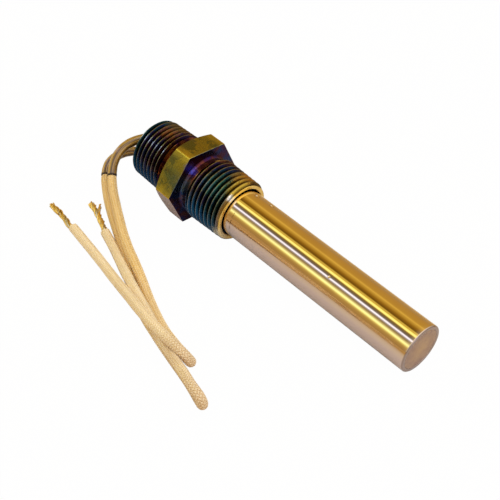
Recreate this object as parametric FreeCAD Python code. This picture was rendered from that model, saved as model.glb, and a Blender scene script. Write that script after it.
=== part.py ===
import FreeCAD, Part
import math
import os

# Adjustable temperature switch of the cartridge kind: a closed metal shell that
# grows when it is heated, two low-expansion struts with silver contacts inside it,
# a screw in the head that moves the near end of the struts, a hexagon nipple with a
# pipe thread at each end, and two braided leads that come out of the rear thread.
#
# Two frames are used, in millimetres.
# Switch frame: X along the shell towards its tip, 0 at the hexagon's tip-side face,
# Z away from the flat that the switch lies on.
# Row frame: the switch lies on the floor, on that flat's edge and on its tip, +Z up,
# with the origin on the floor under the middle of the switch without its leads.

V = FreeCAD.Vector

# Coupling nipple: 1 inch hexagon, 1/2-14 taper pipe thread at both ends
HEX_FLATS = 25.4
HEX_LENGTH = 7.6
HEX_CHAMFER_ANGLE = 30.0
HEX_CHAMFER_RADIUS = 12.6
THREAD_END_RADIUS = 10.36
THREAD_TAPER = 1.0 / 32.0
THREADS_PER_INCH = 14
THREAD_DEPTH = 1.15
THREAD_FLAT = 0.163
PROCESS_LENGTH = 18.2
CONDUIT_LENGTH = 16.3
NECK_RADIUS = 9.5
NECK_LENGTH = 2.4
NECK_FILLET = 1.1
THREAD_RUNOUT = 0.9
THREAD_END_CHAMFER = 0.8
CONDUIT_BORE_RADIUS = 7.0
CONDUIT_BORE_DEPTH = 16.5
BORE_EDGE_CHAMFER = 0.5
SHOULDER_HOLE_RADIUS = 5.9
SHOULDER_THICKNESS = 2.4
MOUTH_GAP = 0.5
MOUTH_DEPTH = 4.2
MOUTH_CHAMFER = 0.45

# Sensing shell, 5/8 inch outside, and its end cap
SHELL_RADIUS = 7.9375
SHELL_SEAT_STEP = 0.2375
SHELL_SHOULDER_OUT = 0.2
SHELL_WALL = 1.25
SHELL_TIP = 91.95
SHELL_TIP_ROUND = 0.45
END_CAP_THICKNESS = 1.4
CAP_SOCKET_DEPTH = 0.8

# Fits
RUNNING_CLEARANCE = 0.05
SWIVEL_END_CLEARANCE = 0.05
LEAD_HOLE_CLEARANCE = 0.1
CERAMIC_CLEARANCE = 0.1
CUT_OVERRUN = 1.0

# Head: threaded bushing, ceramic lead guide and adjusting screw
BUSHING_THICKNESS = 3.0
GUIDE_THICKNESS = 2.5
SCREW_RADIUS = 1.5
SCREW_PITCH = 0.35
SCREW_TURNS_EACH_WAY = 0.75
SCREW_HEAD_RADIUS = 2.2
SCREW_HEAD_LENGTH = 1.6
SCREW_HEAD_STANDOFF = 0.9
SCREW_SLOT_WIDTH = 0.6
SCREW_SLOT_DEPTH = 0.9
SCREW_NECK_RADIUS = 1.0
SCREW_PEEN_LENGTH = 0.6

# Yokes that hold the two ends of the strut pair
YOKE_FACE = -1.35
YOKE_THICKNESS = 2.3
YOKE_ARM_LENGTH = 10.6
YOKE_ARM_WIDTH = 3.0
YOKE_ARM_THICKNESS = 1.2
YOKE_PIN_RADIUS = 0.8
YOKE_NOTCH_WIDTH = 2.8
TAIL_YOKE_THICKNESS = 1.95
TAIL_SPIGOT_RADIUS = 1.5

# Ceramic blocks, struts and contacts
BLOCK_LENGTH = 8.0
BLOCK_WIDTH = 6.2
STRUT_SPACING = 6.4
BLOCK_GAP = 5.0
BLOCK_PIN_SETBACK = 3.6
TAIL_BLOCK_GAP = 3.6
STRUT_WIDTH = 5.0
STRUT_THICKNESS = 0.4
STRUT_TAB = 9.6
CONTACT_RADIUS = 1.6
CONTACT_THICKNESS = 0.85
CONTACT_SHANK_RADIUS = 0.8
CONTACT_PEEN_RADIUS = 1.1
CONTACT_PEEN_HEIGHT = 0.35
RIVET_SETBACK = 6.2
RIVET_RADIUS = 0.7
RIVET_HEAD_RADIUS = 1.2
RIVET_HEAD_HEIGHT = 0.6
RIVET_DEPTH = 1.2
LINER_WALL = 0.4
LINER_HEAD_GAP = 1.3
LINER_TAIL_GAP = 1.0

# Leads
LEAD_RADIUS = 1.53
LEAD_OFFSET = 4.1
SLEEVE_INNER_END = -2.6
SLEEVE_BORE_RADIUS = 0.65
SLEEVE_BORE_DEPTH = 5.6
SLEEVE_MOUTH_RUN = 1.0
CONDUCTOR_RADIUS = 0.6
CONDUCTOR_REACH = 4.4
CRIMP_START = 2.2
CRIMP_RADIUS = 1.35
CRIMP_LENGTH = 3.6
TONGUE_WIDTH = 3.2
TONGUE_THICKNESS = 0.5
TONGUE_OVERLAP = 0.8
TONGUE_TIP = 1.6
BARE_RADIUS = 0.75

# Routes of the free leads in the row frame, each from just outside the rear bore to
# where its braid ends: the exit bend, the way out along the floor, the fold and the
# way back. The bare wire then runs on to one more point.
ROUTE_A = [
    (-62.1, -2.8, 18.1), (-63.5, -9.0, 16.6), (-63.5, -13.8, 12.0), (-61.8, -16.6, 7.4),
    (-57.1, -19.3, 4.9), (-47.3, -24.4, 4.8), (-32.6, -32.0, 4.9), (-20.1, -37.4, 4.5),
    (-9.7, -41.4, 1.6), (1.9, -46.2, 1.6), (10.1, -47.8, 1.6), (16.4, -48.9, 1.6),
    (18.2, -50.3, 3.3), (17.9, -51.7, 5.7), (15.8, -52.3, 7.4), (9.7, -51.7, 7.8),
    (-0.4, -51.8, 8.2), (-11.4, -49.2, 6.3), (-22.9, -44.6, 2.4), (-35.0, -41.6, 1.6),
    (-51.6, -38.7, 1.6),
]
BARE_A = (-65.4, -37.4, 1.2)
ROUTE_B = [
    (-63.2, -2.2, 10.9), (-67.9, -6.6, 9.4), (-69.5, -11.0, 6.2), (-67.5, -14.6, 3.0),
    (-62.1, -17.8, 1.6), (-52.5, -22.8, 1.6), (-34.1, -32.0, 1.6), (-21.5, -39.4, 1.6),
    (-9.5, -46.2, 1.6), (7.1, -51.8, 1.6), (22.7, -54.9, 1.6), (29.1, -56.6, 1.6),
    (30.8, -57.9, 3.3), (30.5, -59.1, 5.9), (28.3, -59.5, 7.7), (22.6, -58.4, 7.3),
    (11.1, -53.6, 4.5), (-1.4, -49.0, 4.9), (-14.9, -44.2, 5.4), (-26.3, -40.2, 3.0),
    (-35.5, -35.4, 1.6), (-44.5, -31.8, 1.6),
]
BARE_B = (-57.4, -25.7, 1.2)
SLEEVE_RUNS = 5
ARC_SHARE = 0.45

# Places along the switch that follow from the sizes above
THREAD_PITCH = 25.4 / THREADS_PER_INCH
CONDUIT_END = -HEX_LENGTH - CONDUIT_LENGTH
CONDUIT_FACE_RADIUS = THREAD_END_RADIUS - THREAD_END_CHAMFER
BORE_FLOOR = CONDUIT_END + CONDUIT_BORE_DEPTH
SHELL_HEAD = BORE_FLOOR + SHOULDER_THICKNESS
SHELL_INNER = SHELL_RADIUS - SHELL_WALL
SHELL_SEAT_RADIUS = SHELL_RADIUS - SHELL_SEAT_STEP
BUSHING_FRONT = BORE_FLOOR - BUSHING_THICKNESS
GUIDE_FRONT = BUSHING_FRONT - GUIDE_THICKNESS
SCREW_TRAVEL = SCREW_PITCH * SCREW_TURNS_EACH_WAY
STRUT_INNER = STRUT_SPACING / 2.0
STRUT_OUTER = STRUT_INNER + STRUT_THICKNESS
YOKE_BACK = YOKE_FACE + YOKE_THICKNESS
BLOCK_START = YOKE_BACK + BLOCK_GAP
CAP_FACE = SHELL_TIP - END_CAP_THICKNESS
TAIL_YOKE_FACE = CAP_FACE - TAIL_YOKE_THICKNESS
TAIL_BLOCK_END = TAIL_YOKE_FACE - TAIL_BLOCK_GAP
ARM_INNER = BLOCK_WIDTH / 2.0
ARM_OUTER = ARM_INNER + YOKE_ARM_THICKNESS
STRUT_MIDDLE = (BLOCK_START + TAIL_BLOCK_END) / 2.0


# Small helpers for solids along the switch's axis

def rod(radius, start, end, y=0.0, z=0.0):
    """A round bar along X from start to end."""
    return Part.makeCylinder(radius, end - start, V(start, y, z), V(1, 0, 0))


def upright_rod(radius, x, low, high):
    """A round bar along Z from low to high, on the plane y = 0."""
    return Part.makeCylinder(radius, high - low, V(x, 0, low), V(0, 0, 1))


def cross_rod(radius, x, half_length):
    """A round bar along Y, centred on the axis."""
    return Part.makeCylinder(radius, 2 * half_length, V(x, -half_length, 0), V(0, 1, 0))


def block(x0, x1, y0, y1, z0, z1):
    """A box between two corners."""
    return Part.makeBox(x1 - x0, y1 - y0, z1 - z0, V(x0, y0, z0))


def turned(outline):
    """A solid turned about the X axis from (x, r) points and ready-made edges."""
    edges = []
    last = None
    for item in outline + outline[:1]:
        if isinstance(item, tuple) and len(item) == 2:
            point = V(item[0], 0, item[1])
            if last is not None and last.distanceToPoint(point) > 1e-7:
                edges.append(Part.LineSegment(last, point).toShape())
            last = point
        else:
            start, middle, end = [V(x, 0, r) for x, r in item]
            if last is not None and last.distanceToPoint(start) > 1e-7:
                edges.append(Part.LineSegment(last, start).toShape())
            edges.append(Part.Arc(start, middle, end).toShape())
            last = end
    face = Part.Face(Part.Wire(edges))
    return face.revolve(V(0, 0, 0), V(1, 0, 0), 360)


def fillet_arc(corner_x, corner_r, size, x_sign, r_sign):
    """A quarter round in a corner: from the wall at constant x to the one at constant r."""
    start = (corner_x, corner_r + r_sign * size)
    end = (corner_x + x_sign * size, corner_r)
    reach = size * (1 - math.sqrt(0.5))
    middle = (corner_x + x_sign * reach, corner_r + r_sign * reach)
    return (start, middle, end)


def hexagon(start, end):
    """A hexagon bar with one flat facing -Z."""
    corner = HEX_FLATS / 2.0 / math.cos(math.radians(30))
    points = []
    for index in range(7):
        angle = math.radians(60 * index)
        points.append(V(start, corner * math.cos(angle), corner * math.sin(angle)))
    return Part.Face(Part.makePolygon(points)).extrude(V(end - start, 0, 0))


# Coupling nipple

def thread_radius(distance):
    """Crest radius of the taper thread at a distance from its small end."""
    return THREAD_END_RADIUS + THREAD_TAPER * distance


def nipple_core():
    """The turned body under the hexagon: both thread blanks with their necks."""
    process_neck = thread_radius(PROCESS_LENGTH - NECK_LENGTH - THREAD_RUNOUT)
    conduit_neck = thread_radius(CONDUIT_LENGTH - NECK_LENGTH - THREAD_RUNOUT)
    side = NECK_RADIUS + NECK_FILLET
    near = fillet_arc(-HEX_LENGTH, NECK_RADIUS, NECK_FILLET, -1, 1)
    far = fillet_arc(0.0, NECK_RADIUS, NECK_FILLET, 1, 1)
    return turned([
        (CONDUIT_END, 0.0),
        (CONDUIT_END, CONDUIT_FACE_RADIUS),
        (CONDUIT_END + THREAD_END_CHAMFER, thread_radius(THREAD_END_CHAMFER)),
        (-HEX_LENGTH - NECK_LENGTH - THREAD_RUNOUT, conduit_neck),
        (-HEX_LENGTH - NECK_LENGTH, NECK_RADIUS),
        tuple(reversed(near)),
        (-HEX_LENGTH, side),
        (0.0, side),
        far,
        (NECK_LENGTH, NECK_RADIUS),
        (NECK_LENGTH + THREAD_RUNOUT, process_neck),
        (PROCESS_LENGTH - THREAD_END_CHAMFER, thread_radius(THREAD_END_CHAMFER)),
        (PROCESS_LENGTH, THREAD_END_RADIUS - THREAD_END_CHAMFER),
        (PROCESS_LENGTH, 0.0),
    ])


def hexagon_collar():
    """The hexagon with its corners chamfered on the rear side."""
    slope = math.tan(math.radians(HEX_CHAMFER_ANGLE))
    reach = HEX_FLATS / math.cos(math.radians(30)) / 2.0 + CUT_OVERRUN
    cone = turned([
        (-HEX_LENGTH, 0.0),
        (-HEX_LENGTH, HEX_CHAMFER_RADIUS),
        (-HEX_LENGTH + (reach - HEX_CHAMFER_RADIUS) * slope, reach),
        (0.0, reach),
        (0.0, 0.0),
    ])
    return hexagon(-HEX_LENGTH, 0.0).common(cone)


def nipple_bore():
    """Everything bored out of the nipple: lead chamber, shoulder hole, shell seat, mouth."""
    mouth_radius = SHELL_RADIUS + MOUTH_GAP
    return turned([
        (CONDUIT_END, 0.0),
        (CONDUIT_END, CONDUIT_BORE_RADIUS + BORE_EDGE_CHAMFER),
        (CONDUIT_END + BORE_EDGE_CHAMFER, CONDUIT_BORE_RADIUS),
        (BORE_FLOOR, CONDUIT_BORE_RADIUS),
        (BORE_FLOOR, SHOULDER_HOLE_RADIUS),
        (SHELL_HEAD, SHOULDER_HOLE_RADIUS),
        (SHELL_HEAD, SHELL_SEAT_RADIUS),
        (PROCESS_LENGTH - MOUTH_DEPTH, SHELL_SEAT_RADIUS),
        (PROCESS_LENGTH - MOUTH_DEPTH, mouth_radius),
        (PROCESS_LENGTH - MOUTH_CHAMFER, mouth_radius),
        (PROCESS_LENGTH, mouth_radius + MOUTH_CHAMFER),
        (PROCESS_LENGTH, 0.0),
    ])


def thread_groove(length):
    """The groove of a right-hand taper thread of that length to the hexagon.

    It stands on the Z axis with the thread's small end at 0. It starts outside that end, its root
    follows the taper, and it runs out over the neck, which lies deeper than the root there.
    """
    top = (THREAD_PITCH - THREAD_FLAT) / 2.0
    low = THREAD_FLAT / 2.0
    start = -THREAD_PITCH / 2.0
    end = length - NECK_LENGTH + top
    root = THREAD_END_RADIUS - THREAD_DEPTH + start * THREAD_TAPER
    angle = math.degrees(math.atan(THREAD_TAPER))
    path = Part.makeHelix(THREAD_PITCH, end - start, root, angle)
    section = Part.makePolygon([
        V(root, 0, -low),
        V(root + THREAD_DEPTH, 0, -top),
        V(root + THREAD_DEPTH + CUT_OVERRUN, 0, -top),
        V(root + THREAD_DEPTH + CUT_OVERRUN, 0, top),
        V(root + THREAD_DEPTH, 0, top),
        V(root, 0, low),
        V(root, 0, -low),
    ])
    groove = Part.Wire(path.Edges).makePipeShell([section], True, True)
    groove.translate(V(0, 0, start))
    return groove


def process_groove():
    """The groove of the thread beside the probe, counted from the mouth back to the hexagon."""
    groove = thread_groove(PROCESS_LENGTH)
    turn = FreeCAD.Rotation(V(0, 1, 0), V(0, 0, -1), V(-1, 0, 0))
    groove.Placement = FreeCAD.Placement(V(PROCESS_LENGTH, 0, 0), turn).multiply(groove.Placement)
    return groove


def conduit_groove():
    """The groove of the thread at the leads, counted from the rear end to the hexagon."""
    groove = thread_groove(CONDUIT_LENGTH)
    turn = FreeCAD.Rotation(V(0, 1, 0), V(0, 0, 1), V(1, 0, 0))
    groove.Placement = FreeCAD.Placement(V(CONDUIT_END, 0, 0), turn).multiply(groove.Placement)
    return groove


def coupling_nipple():
    """Hexagon, two cut taper threads and the stepped bore, one turned piece."""
    blank = nipple_core().fuse(hexagon_collar()).cut(nipple_bore()).removeSplitter()
    return blank.cut(process_groove()).cut(conduit_groove())


# Sensing shell and end cap

def sensing_shell():
    """The thin tube that grows with heat: turned-down seat, shoulder, rounded tip edge."""
    shoulder = PROCESS_LENGTH + SHELL_SHOULDER_OUT
    tip_corner = fillet_arc(SHELL_TIP, SHELL_RADIUS, SHELL_TIP_ROUND, -1, -1)
    return turned([
        (SHELL_HEAD, SHELL_INNER),
        (SHELL_HEAD, SHELL_SEAT_RADIUS),
        (shoulder, SHELL_SEAT_RADIUS),
        (shoulder, SHELL_RADIUS),
        tuple(reversed(tip_corner)),
        (SHELL_TIP, SHELL_INNER),
    ])


def end_cap():
    """The disc that closes the tip, with a socket for the tail yoke's spigot."""
    disc = rod(SHELL_INNER, CAP_FACE, SHELL_TIP)
    return disc.cut(rod(TAIL_SPIGOT_RADIUS, CAP_FACE, CAP_FACE + CAP_SOCKET_DEPTH))


# Head: bushing, ceramic guide and screw

def lead_holes(start, end):
    """The two round holes that the leads pass through."""
    radius = LEAD_RADIUS + LEAD_HOLE_CLEARANCE
    upper = rod(radius, start, end, z=LEAD_OFFSET)
    return upper.fuse(rod(radius, start, end, z=-LEAD_OFFSET))


def head_bushing():
    """The metal disc against the bore's shoulder, with the screw's thread in it."""
    disc = rod(CONDUIT_BORE_RADIUS, BUSHING_FRONT, BORE_FLOOR)
    disc = disc.cut(rod(SCREW_RADIUS + RUNNING_CLEARANCE, BUSHING_FRONT, BORE_FLOOR))
    return disc.cut(lead_holes(BUSHING_FRONT, BORE_FLOOR))


def lead_guide():
    """The ceramic disc in front of the bushing that keeps the leads apart."""
    disc = rod(CONDUIT_BORE_RADIUS - CERAMIC_CLEARANCE, GUIDE_FRONT, BUSHING_FRONT)
    disc = disc.cut(rod(SCREW_RADIUS + CERAMIC_CLEARANCE, GUIDE_FRONT, BUSHING_FRONT))
    return disc.cut(lead_holes(GUIDE_FRONT, BUSHING_FRONT))


def adjusting_screw():
    """Slotted screw whose inner end is necked and peened to swivel in the head yoke."""
    neck_start = YOKE_FACE - SWIVEL_END_CLEARANCE
    neck_end = YOKE_BACK + SWIVEL_END_CLEARANCE
    head_end = GUIDE_FRONT - SCREW_HEAD_STANDOFF
    head_start = head_end - SCREW_HEAD_LENGTH
    screw = turned([
        (head_start, 0.0),
        (head_start, SCREW_HEAD_RADIUS),
        (head_end, SCREW_HEAD_RADIUS),
        (head_end, SCREW_RADIUS),
        (neck_start, SCREW_RADIUS),
        (neck_start, SCREW_NECK_RADIUS),
        (neck_end, SCREW_NECK_RADIUS),
        (neck_end, SCREW_RADIUS),
        (neck_end + SCREW_PEEN_LENGTH, SCREW_RADIUS),
        (neck_end + SCREW_PEEN_LENGTH, 0.0),
    ])
    half = SCREW_SLOT_WIDTH / 2.0
    wide = SCREW_HEAD_RADIUS + CUT_OVERRUN
    slot = block(head_start - CUT_OVERRUN, head_start + SCREW_SLOT_DEPTH, -wide, wide, -half, half)
    return screw.cut(slot)


# Yokes, ceramic blocks, pins and rivets

def yoke_arms(start, end, pin_x):
    """The two cheeks of a yoke with the pin's hole through them."""
    half = YOKE_ARM_WIDTH / 2.0
    left = block(start, end, ARM_INNER, ARM_OUTER, -half, half)
    right = block(start, end, -ARM_OUTER, -ARM_INNER, -half, half)
    return left.fuse(right).cut(cross_rod(YOKE_PIN_RADIUS, pin_x, ARM_OUTER))


def head_yoke():
    """The sliding disc that the screw pushes and pulls, with cheeks for the block."""
    disc = rod(SHELL_INNER - RUNNING_CLEARANCE, YOKE_FACE, YOKE_BACK)
    disc = disc.cut(rod(SCREW_NECK_RADIUS + RUNNING_CLEARANCE, YOKE_FACE, YOKE_BACK))
    half = YOKE_NOTCH_WIDTH / 2.0
    for side in (1, -1):
        bottom = rod(half, YOKE_FACE, YOKE_BACK, z=side * LEAD_OFFSET)
        low = min(side * LEAD_OFFSET, side * SHELL_RADIUS)
        high = max(side * LEAD_OFFSET, side * SHELL_RADIUS)
        disc = disc.cut(bottom).cut(block(YOKE_FACE, YOKE_BACK, -half, half, low, high))
    arms = yoke_arms(YOKE_BACK, YOKE_BACK + YOKE_ARM_LENGTH, BLOCK_START + BLOCK_PIN_SETBACK)
    return disc.fuse(arms).removeSplitter()


def tail_yoke():
    """The fixed yoke at the tip, with a spigot seated in the end cap."""
    disc = rod(SHELL_INNER, TAIL_YOKE_FACE, CAP_FACE)
    spigot = rod(TAIL_SPIGOT_RADIUS, CAP_FACE, CAP_FACE + CAP_SOCKET_DEPTH)
    arms = yoke_arms(TAIL_YOKE_FACE - YOKE_ARM_LENGTH, TAIL_YOKE_FACE,
                     TAIL_BLOCK_END - BLOCK_PIN_SETBACK)
    return disc.fuse(spigot).fuse(arms).removeSplitter()


def strut_block(start, pin_x, rivet_x):
    """A ceramic block with the pin's cross hole and a blind rivet hole on each face."""
    half_width = BLOCK_WIDTH / 2.0
    body = block(start, start + BLOCK_LENGTH, -half_width, half_width, -STRUT_INNER, STRUT_INNER)
    body = body.cut(cross_rod(YOKE_PIN_RADIUS, pin_x, half_width))
    top = upright_rod(RIVET_RADIUS, rivet_x, STRUT_INNER - RIVET_DEPTH, STRUT_INNER)
    bottom = upright_rod(RIVET_RADIUS, rivet_x, -STRUT_INNER, -STRUT_INNER + RIVET_DEPTH)
    return body.cut(top).cut(bottom)


def rivet_pair(rivet_x, seat):
    """Two rivets, one in each face of a block, with their heads on the given height."""
    rivets = []
    for side in (1, -1):
        inner = side * (STRUT_INNER - RIVET_DEPTH)
        face = side * seat
        head = side * (seat + RIVET_HEAD_HEIGHT)
        shank = upright_rod(RIVET_RADIUS, rivet_x, min(inner, face), max(inner, face))
        cap = upright_rod(RIVET_HEAD_RADIUS, rivet_x, min(face, head), max(face, head))
        rivets.append(shank.fuse(cap).removeSplitter())
    return Part.makeCompound(rivets)


# Struts and contacts

def strut_profile(offset):
    """The strut's line at a height above its inner face: tab, bowed middle, tab."""
    head = BLOCK_START
    tail = TAIL_BLOCK_END
    level = STRUT_INNER + offset
    middle = CONTACT_THICKNESS + offset
    return (V(head, 0, level), V(head + STRUT_TAB, 0, level), V(STRUT_MIDDLE, 0, middle),
            V(tail - STRUT_TAB, 0, level), V(tail, 0, level))


def strut(side):
    """One bowed strip of low-expansion alloy, on the +Z side for side 1."""
    half = STRUT_WIDTH / 2.0
    inner = strut_profile(0.0)
    outer = strut_profile(STRUT_THICKNESS)
    wire = Part.Wire([
        Part.LineSegment(inner[0], inner[1]).toShape(),
        Part.Arc(inner[1], inner[2], inner[3]).toShape(),
        Part.LineSegment(inner[3], inner[4]).toShape(),
        Part.LineSegment(inner[4], outer[4]).toShape(),
        Part.LineSegment(outer[4], outer[3]).toShape(),
        Part.Arc(outer[3], outer[2], outer[1]).toShape(),
        Part.LineSegment(outer[1], outer[0]).toShape(),
        Part.LineSegment(outer[0], inner[0]).toShape(),
    ])
    face = Part.Face(wire)
    face.translate(V(0, -half, 0))
    strip = face.extrude(V(0, STRUT_WIDTH, 0))
    for hole_x in (BLOCK_START + RIVET_SETBACK, TAIL_BLOCK_END - RIVET_SETBACK):
        strip = strip.cut(upright_rod(RIVET_RADIUS, hole_x, STRUT_INNER, STRUT_OUTER))
    strip = strip.cut(upright_rod(CONTACT_SHANK_RADIUS, STRUT_MIDDLE, 0.0, STRUT_OUTER))
    return strip if side > 0 else mirrored(strip)


def contact(side):
    """A silver rivet contact: button, shank through the strut and peened back."""
    outer = CONTACT_THICKNESS + STRUT_THICKNESS
    button = upright_rod(CONTACT_RADIUS, STRUT_MIDDLE, 0.0, CONTACT_THICKNESS)
    shank = upright_rod(CONTACT_SHANK_RADIUS, STRUT_MIDDLE, CONTACT_THICKNESS, outer)
    peen = upright_rod(CONTACT_PEEN_RADIUS, STRUT_MIDDLE, outer, outer + CONTACT_PEEN_HEIGHT)
    whole = button.fuse(shank).fuse(peen).removeSplitter()
    return whole if side > 0 else mirrored(whole)


def mirrored(shape):
    """The same solid on the -Z side, turned half way about the axis."""
    turned_copy = shape.copy()
    turned_copy.rotate(V(0, 0, 0), V(1, 0, 0), 180)
    return turned_copy


def insulating_liner():
    """The thin insulating tube between the struts and the shell."""
    start = BLOCK_START + BLOCK_LENGTH + LINER_HEAD_GAP
    end = TAIL_BLOCK_END - BLOCK_LENGTH - LINER_TAIL_GAP
    return rod(SHELL_INNER, start, end).cut(rod(SHELL_INNER - LINER_WALL, start, end))


# Lead ends inside the head

def lead_crimp(side):
    """A terminal crimped on a lead, its tongue riveted on the strut's tab."""
    rivet_x = BLOCK_START + RIVET_SETBACK
    half = TONGUE_WIDTH / 2.0
    barrel = rod(CRIMP_RADIUS, CRIMP_START, CRIMP_START + CRIMP_LENGTH, z=LEAD_OFFSET)
    barrel = barrel.cut(rod(CONDUCTOR_RADIUS, CRIMP_START, CRIMP_START + CRIMP_LENGTH / 2.0,
                            z=LEAD_OFFSET))
    tongue = block(CRIMP_START + CRIMP_LENGTH - TONGUE_OVERLAP, rivet_x + TONGUE_TIP, -half, half,
                   STRUT_OUTER, STRUT_OUTER + TONGUE_THICKNESS)
    tongue = tongue.cut(upright_rod(RIVET_RADIUS, rivet_x, STRUT_INNER, LEAD_OFFSET))
    whole = barrel.fuse(tongue).removeSplitter()
    return whole if side > 0 else mirrored(whole)


def lead_conductor(side):
    """The bared end of a lead's wire, from the crimp back into the loose sleeve."""
    wire = rod(CONDUCTOR_RADIUS, SLEEVE_INNER_END - CONDUCTOR_REACH,
               CRIMP_START + CRIMP_LENGTH / 2.0, z=LEAD_OFFSET)
    return wire if side > 0 else mirrored(wire)


# Rest on the floor: from the switch frame to the row frame

def rest_tilt():
    """Angle at which the hexagon's edge and the rounded tip both touch the floor."""
    reach = SHELL_TIP - SHELL_TIP_ROUND
    rise = HEX_FLATS / 2.0 - (SHELL_RADIUS - SHELL_TIP_ROUND)
    span = math.hypot(reach, rise)
    return math.atan2(rise, reach) - math.asin(SHELL_TIP_ROUND / span)


def row_map():
    """The placement that turns switch-frame shapes into row-frame shapes."""
    tilt = rest_tilt()
    cos_t, sin_t = math.cos(tilt), math.sin(tilt)
    height = HEX_FLATS / 2.0 * cos_t
    rear = CONDUIT_END * cos_t - CONDUIT_FACE_RADIUS * sin_t
    inner_tip = SHELL_TIP - SHELL_TIP_ROUND
    front = inner_tip * cos_t + (SHELL_RADIUS - SHELL_TIP_ROUND) * sin_t + SHELL_TIP_ROUND
    base = V(-(rear + front) / 2.0, 0, height)
    return FreeCAD.Placement(base, FreeCAD.Rotation(V(0, 1, 0), math.degrees(tilt)))


# Leads as tubes along straight runs and tangent arcs

def bend(before, corner, after, label):
    """The arc that rounds one corner of a route, with its two tangent points."""
    first = before - corner
    second = after - corner
    half_turn = (math.pi - first.getAngle(second)) / 2.0
    radius = ARC_SHARE * min(first.Length, second.Length) / math.tan(half_turn)
    reach = radius * math.tan(half_turn)
    first.normalize()
    second.normalize()
    inward = first + second
    inward.normalize()
    middle = corner + inward * (radius / math.cos(half_turn) - radius)
    print("bend", label, "radius", round(radius, 2))
    return corner + first * reach, middle, corner + second * reach


def route_edges(points, label):
    """Edges of a route: one straight run for each pair of points, arcs between them."""
    runs = []
    arcs = []
    start = points[0]
    for index in range(1, len(points) - 1):
        entry, middle, leave = bend(points[index - 1], points[index], points[index + 1],
                                    label + " " + str(index))
        runs.append((start, entry))
        arcs.append(Part.Arc(entry, middle, leave).toShape())
        start = leave
    runs.append((start, points[-1]))
    return runs, arcs


def tube(edges, radius, label):
    """A round solid swept along tangent edges, compared with section times length."""
    path = Part.Wire(edges)
    start = edges[0].Vertexes[0].Point
    heading = edges[0].tangentAt(edges[0].FirstParameter)
    ring = Part.Wire(Part.makeCircle(radius, start, heading))
    solid = path.makePipeShell([ring], True, False)
    expected = math.pi * radius ** 2 * path.Length
    print(label, "length", round(path.Length, 1), "volume ratio", round(solid.Volume / expected, 4))
    return solid


def lead(name, side, route, bare_tip, place):
    """Sleeve, braid and bare wire of one lead, in the row frame."""
    inner = place.multVec(V(SLEEVE_INNER_END, 0, side * LEAD_OFFSET))
    mouth = place.multVec(V(CONDUIT_END + SLEEVE_MOUTH_RUN, 0, side * LEAD_OFFSET))
    points = [inner, mouth] + [V(*point) for point in route]
    runs, arcs = route_edges(points, name)
    sleeve_edges = []
    braid_edges = []
    for index, (start, end) in enumerate(runs):
        target = sleeve_edges if index < SLEEVE_RUNS else braid_edges
        if index == SLEEVE_RUNS:
            middle = (start + end) / 2.0
            sleeve_edges.append(Part.LineSegment(start, middle).toShape())
            start = middle
        target.append(Part.LineSegment(start, end).toShape())
        if index < len(arcs):
            target.append(arcs[index])
    bore = rod(SLEEVE_BORE_RADIUS, SLEEVE_INNER_END - SLEEVE_BORE_DEPTH, SLEEVE_INNER_END,
               z=side * LEAD_OFFSET)
    sleeve = tube(sleeve_edges, LEAD_RADIUS, name + " sleeve").cut(placed(bore, place))
    braid = tube(braid_edges, LEAD_RADIUS, name + " braid")
    bare_line = Part.LineSegment(points[-1], V(*bare_tip)).toShape()
    strands = tube([bare_line], BARE_RADIUS, name + " bare wire")
    return {"lead_sleeve_" + name: sleeve, "lead_braid_" + name: braid,
            "lead_strands_" + name: strands}


def placed(shape, place):
    """A copy of a switch-frame shape in the row frame."""
    return shape.transformed(place.toMatrix(), copy=True)


# The whole switch

def switch_pieces():
    """Every piece in the switch frame, by node name."""
    rivet_x = BLOCK_START + RIVET_SETBACK
    tail_rivet_x = TAIL_BLOCK_END - RIVET_SETBACK
    tail_start = TAIL_BLOCK_END - BLOCK_LENGTH
    tail_pin_x = TAIL_BLOCK_END - BLOCK_PIN_SETBACK
    head_pin_x = BLOCK_START + BLOCK_PIN_SETBACK
    return {
        "coupling_nipple": coupling_nipple(),
        "sensing_shell": sensing_shell(),
        "end_cap": end_cap(),
        "head_bushing": head_bushing(),
        "lead_guide": lead_guide(),
        "adjusting_screw": adjusting_screw(),
        "head_yoke": head_yoke(),
        "head_pin": cross_rod(YOKE_PIN_RADIUS, head_pin_x, ARM_OUTER),
        "head_insulator": strut_block(BLOCK_START, head_pin_x, rivet_x),
        "head_rivets": rivet_pair(rivet_x, STRUT_OUTER + TONGUE_THICKNESS),
        "strut_a": strut(1),
        "strut_b": strut(-1),
        "contact_a": contact(1),
        "contact_b": contact(-1),
        "tail_insulator": strut_block(tail_start, tail_pin_x, tail_rivet_x),
        "tail_rivets": rivet_pair(tail_rivet_x, STRUT_OUTER),
        "tail_pin": cross_rod(YOKE_PIN_RADIUS, tail_pin_x, ARM_OUTER),
        "tail_yoke": tail_yoke(),
        "insulating_liner": insulating_liner(),
        "lead_crimp_a": lead_crimp(1),
        "lead_crimp_b": lead_crimp(-1),
        "lead_conductor_a": lead_conductor(1),
        "lead_conductor_b": lead_conductor(-1),
    }


def main():
    """Build every piece in the row frame and write one file for each."""
    os.makedirs("parts", exist_ok=True)
    place = row_map()
    pieces = {name: placed(shape, place) for name, shape in switch_pieces().items()}
    pieces.update(lead("a", 1, ROUTE_A, BARE_A, place))
    pieces.update(lead("b", -1, ROUTE_B, BARE_B, place))
    for name, shape in pieces.items():
        shape.exportStep("parts/" + name + ".step")
        print(name, "solids", len(shape.Solids), "valid", shape.isValid(), "mm3", round(shape.Volume, 2))
    print("tilt", round(math.degrees(rest_tilt()), 4), "origin shift", place.Base)
    print("screw travel each way", SCREW_TRAVEL)


main()
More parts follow.
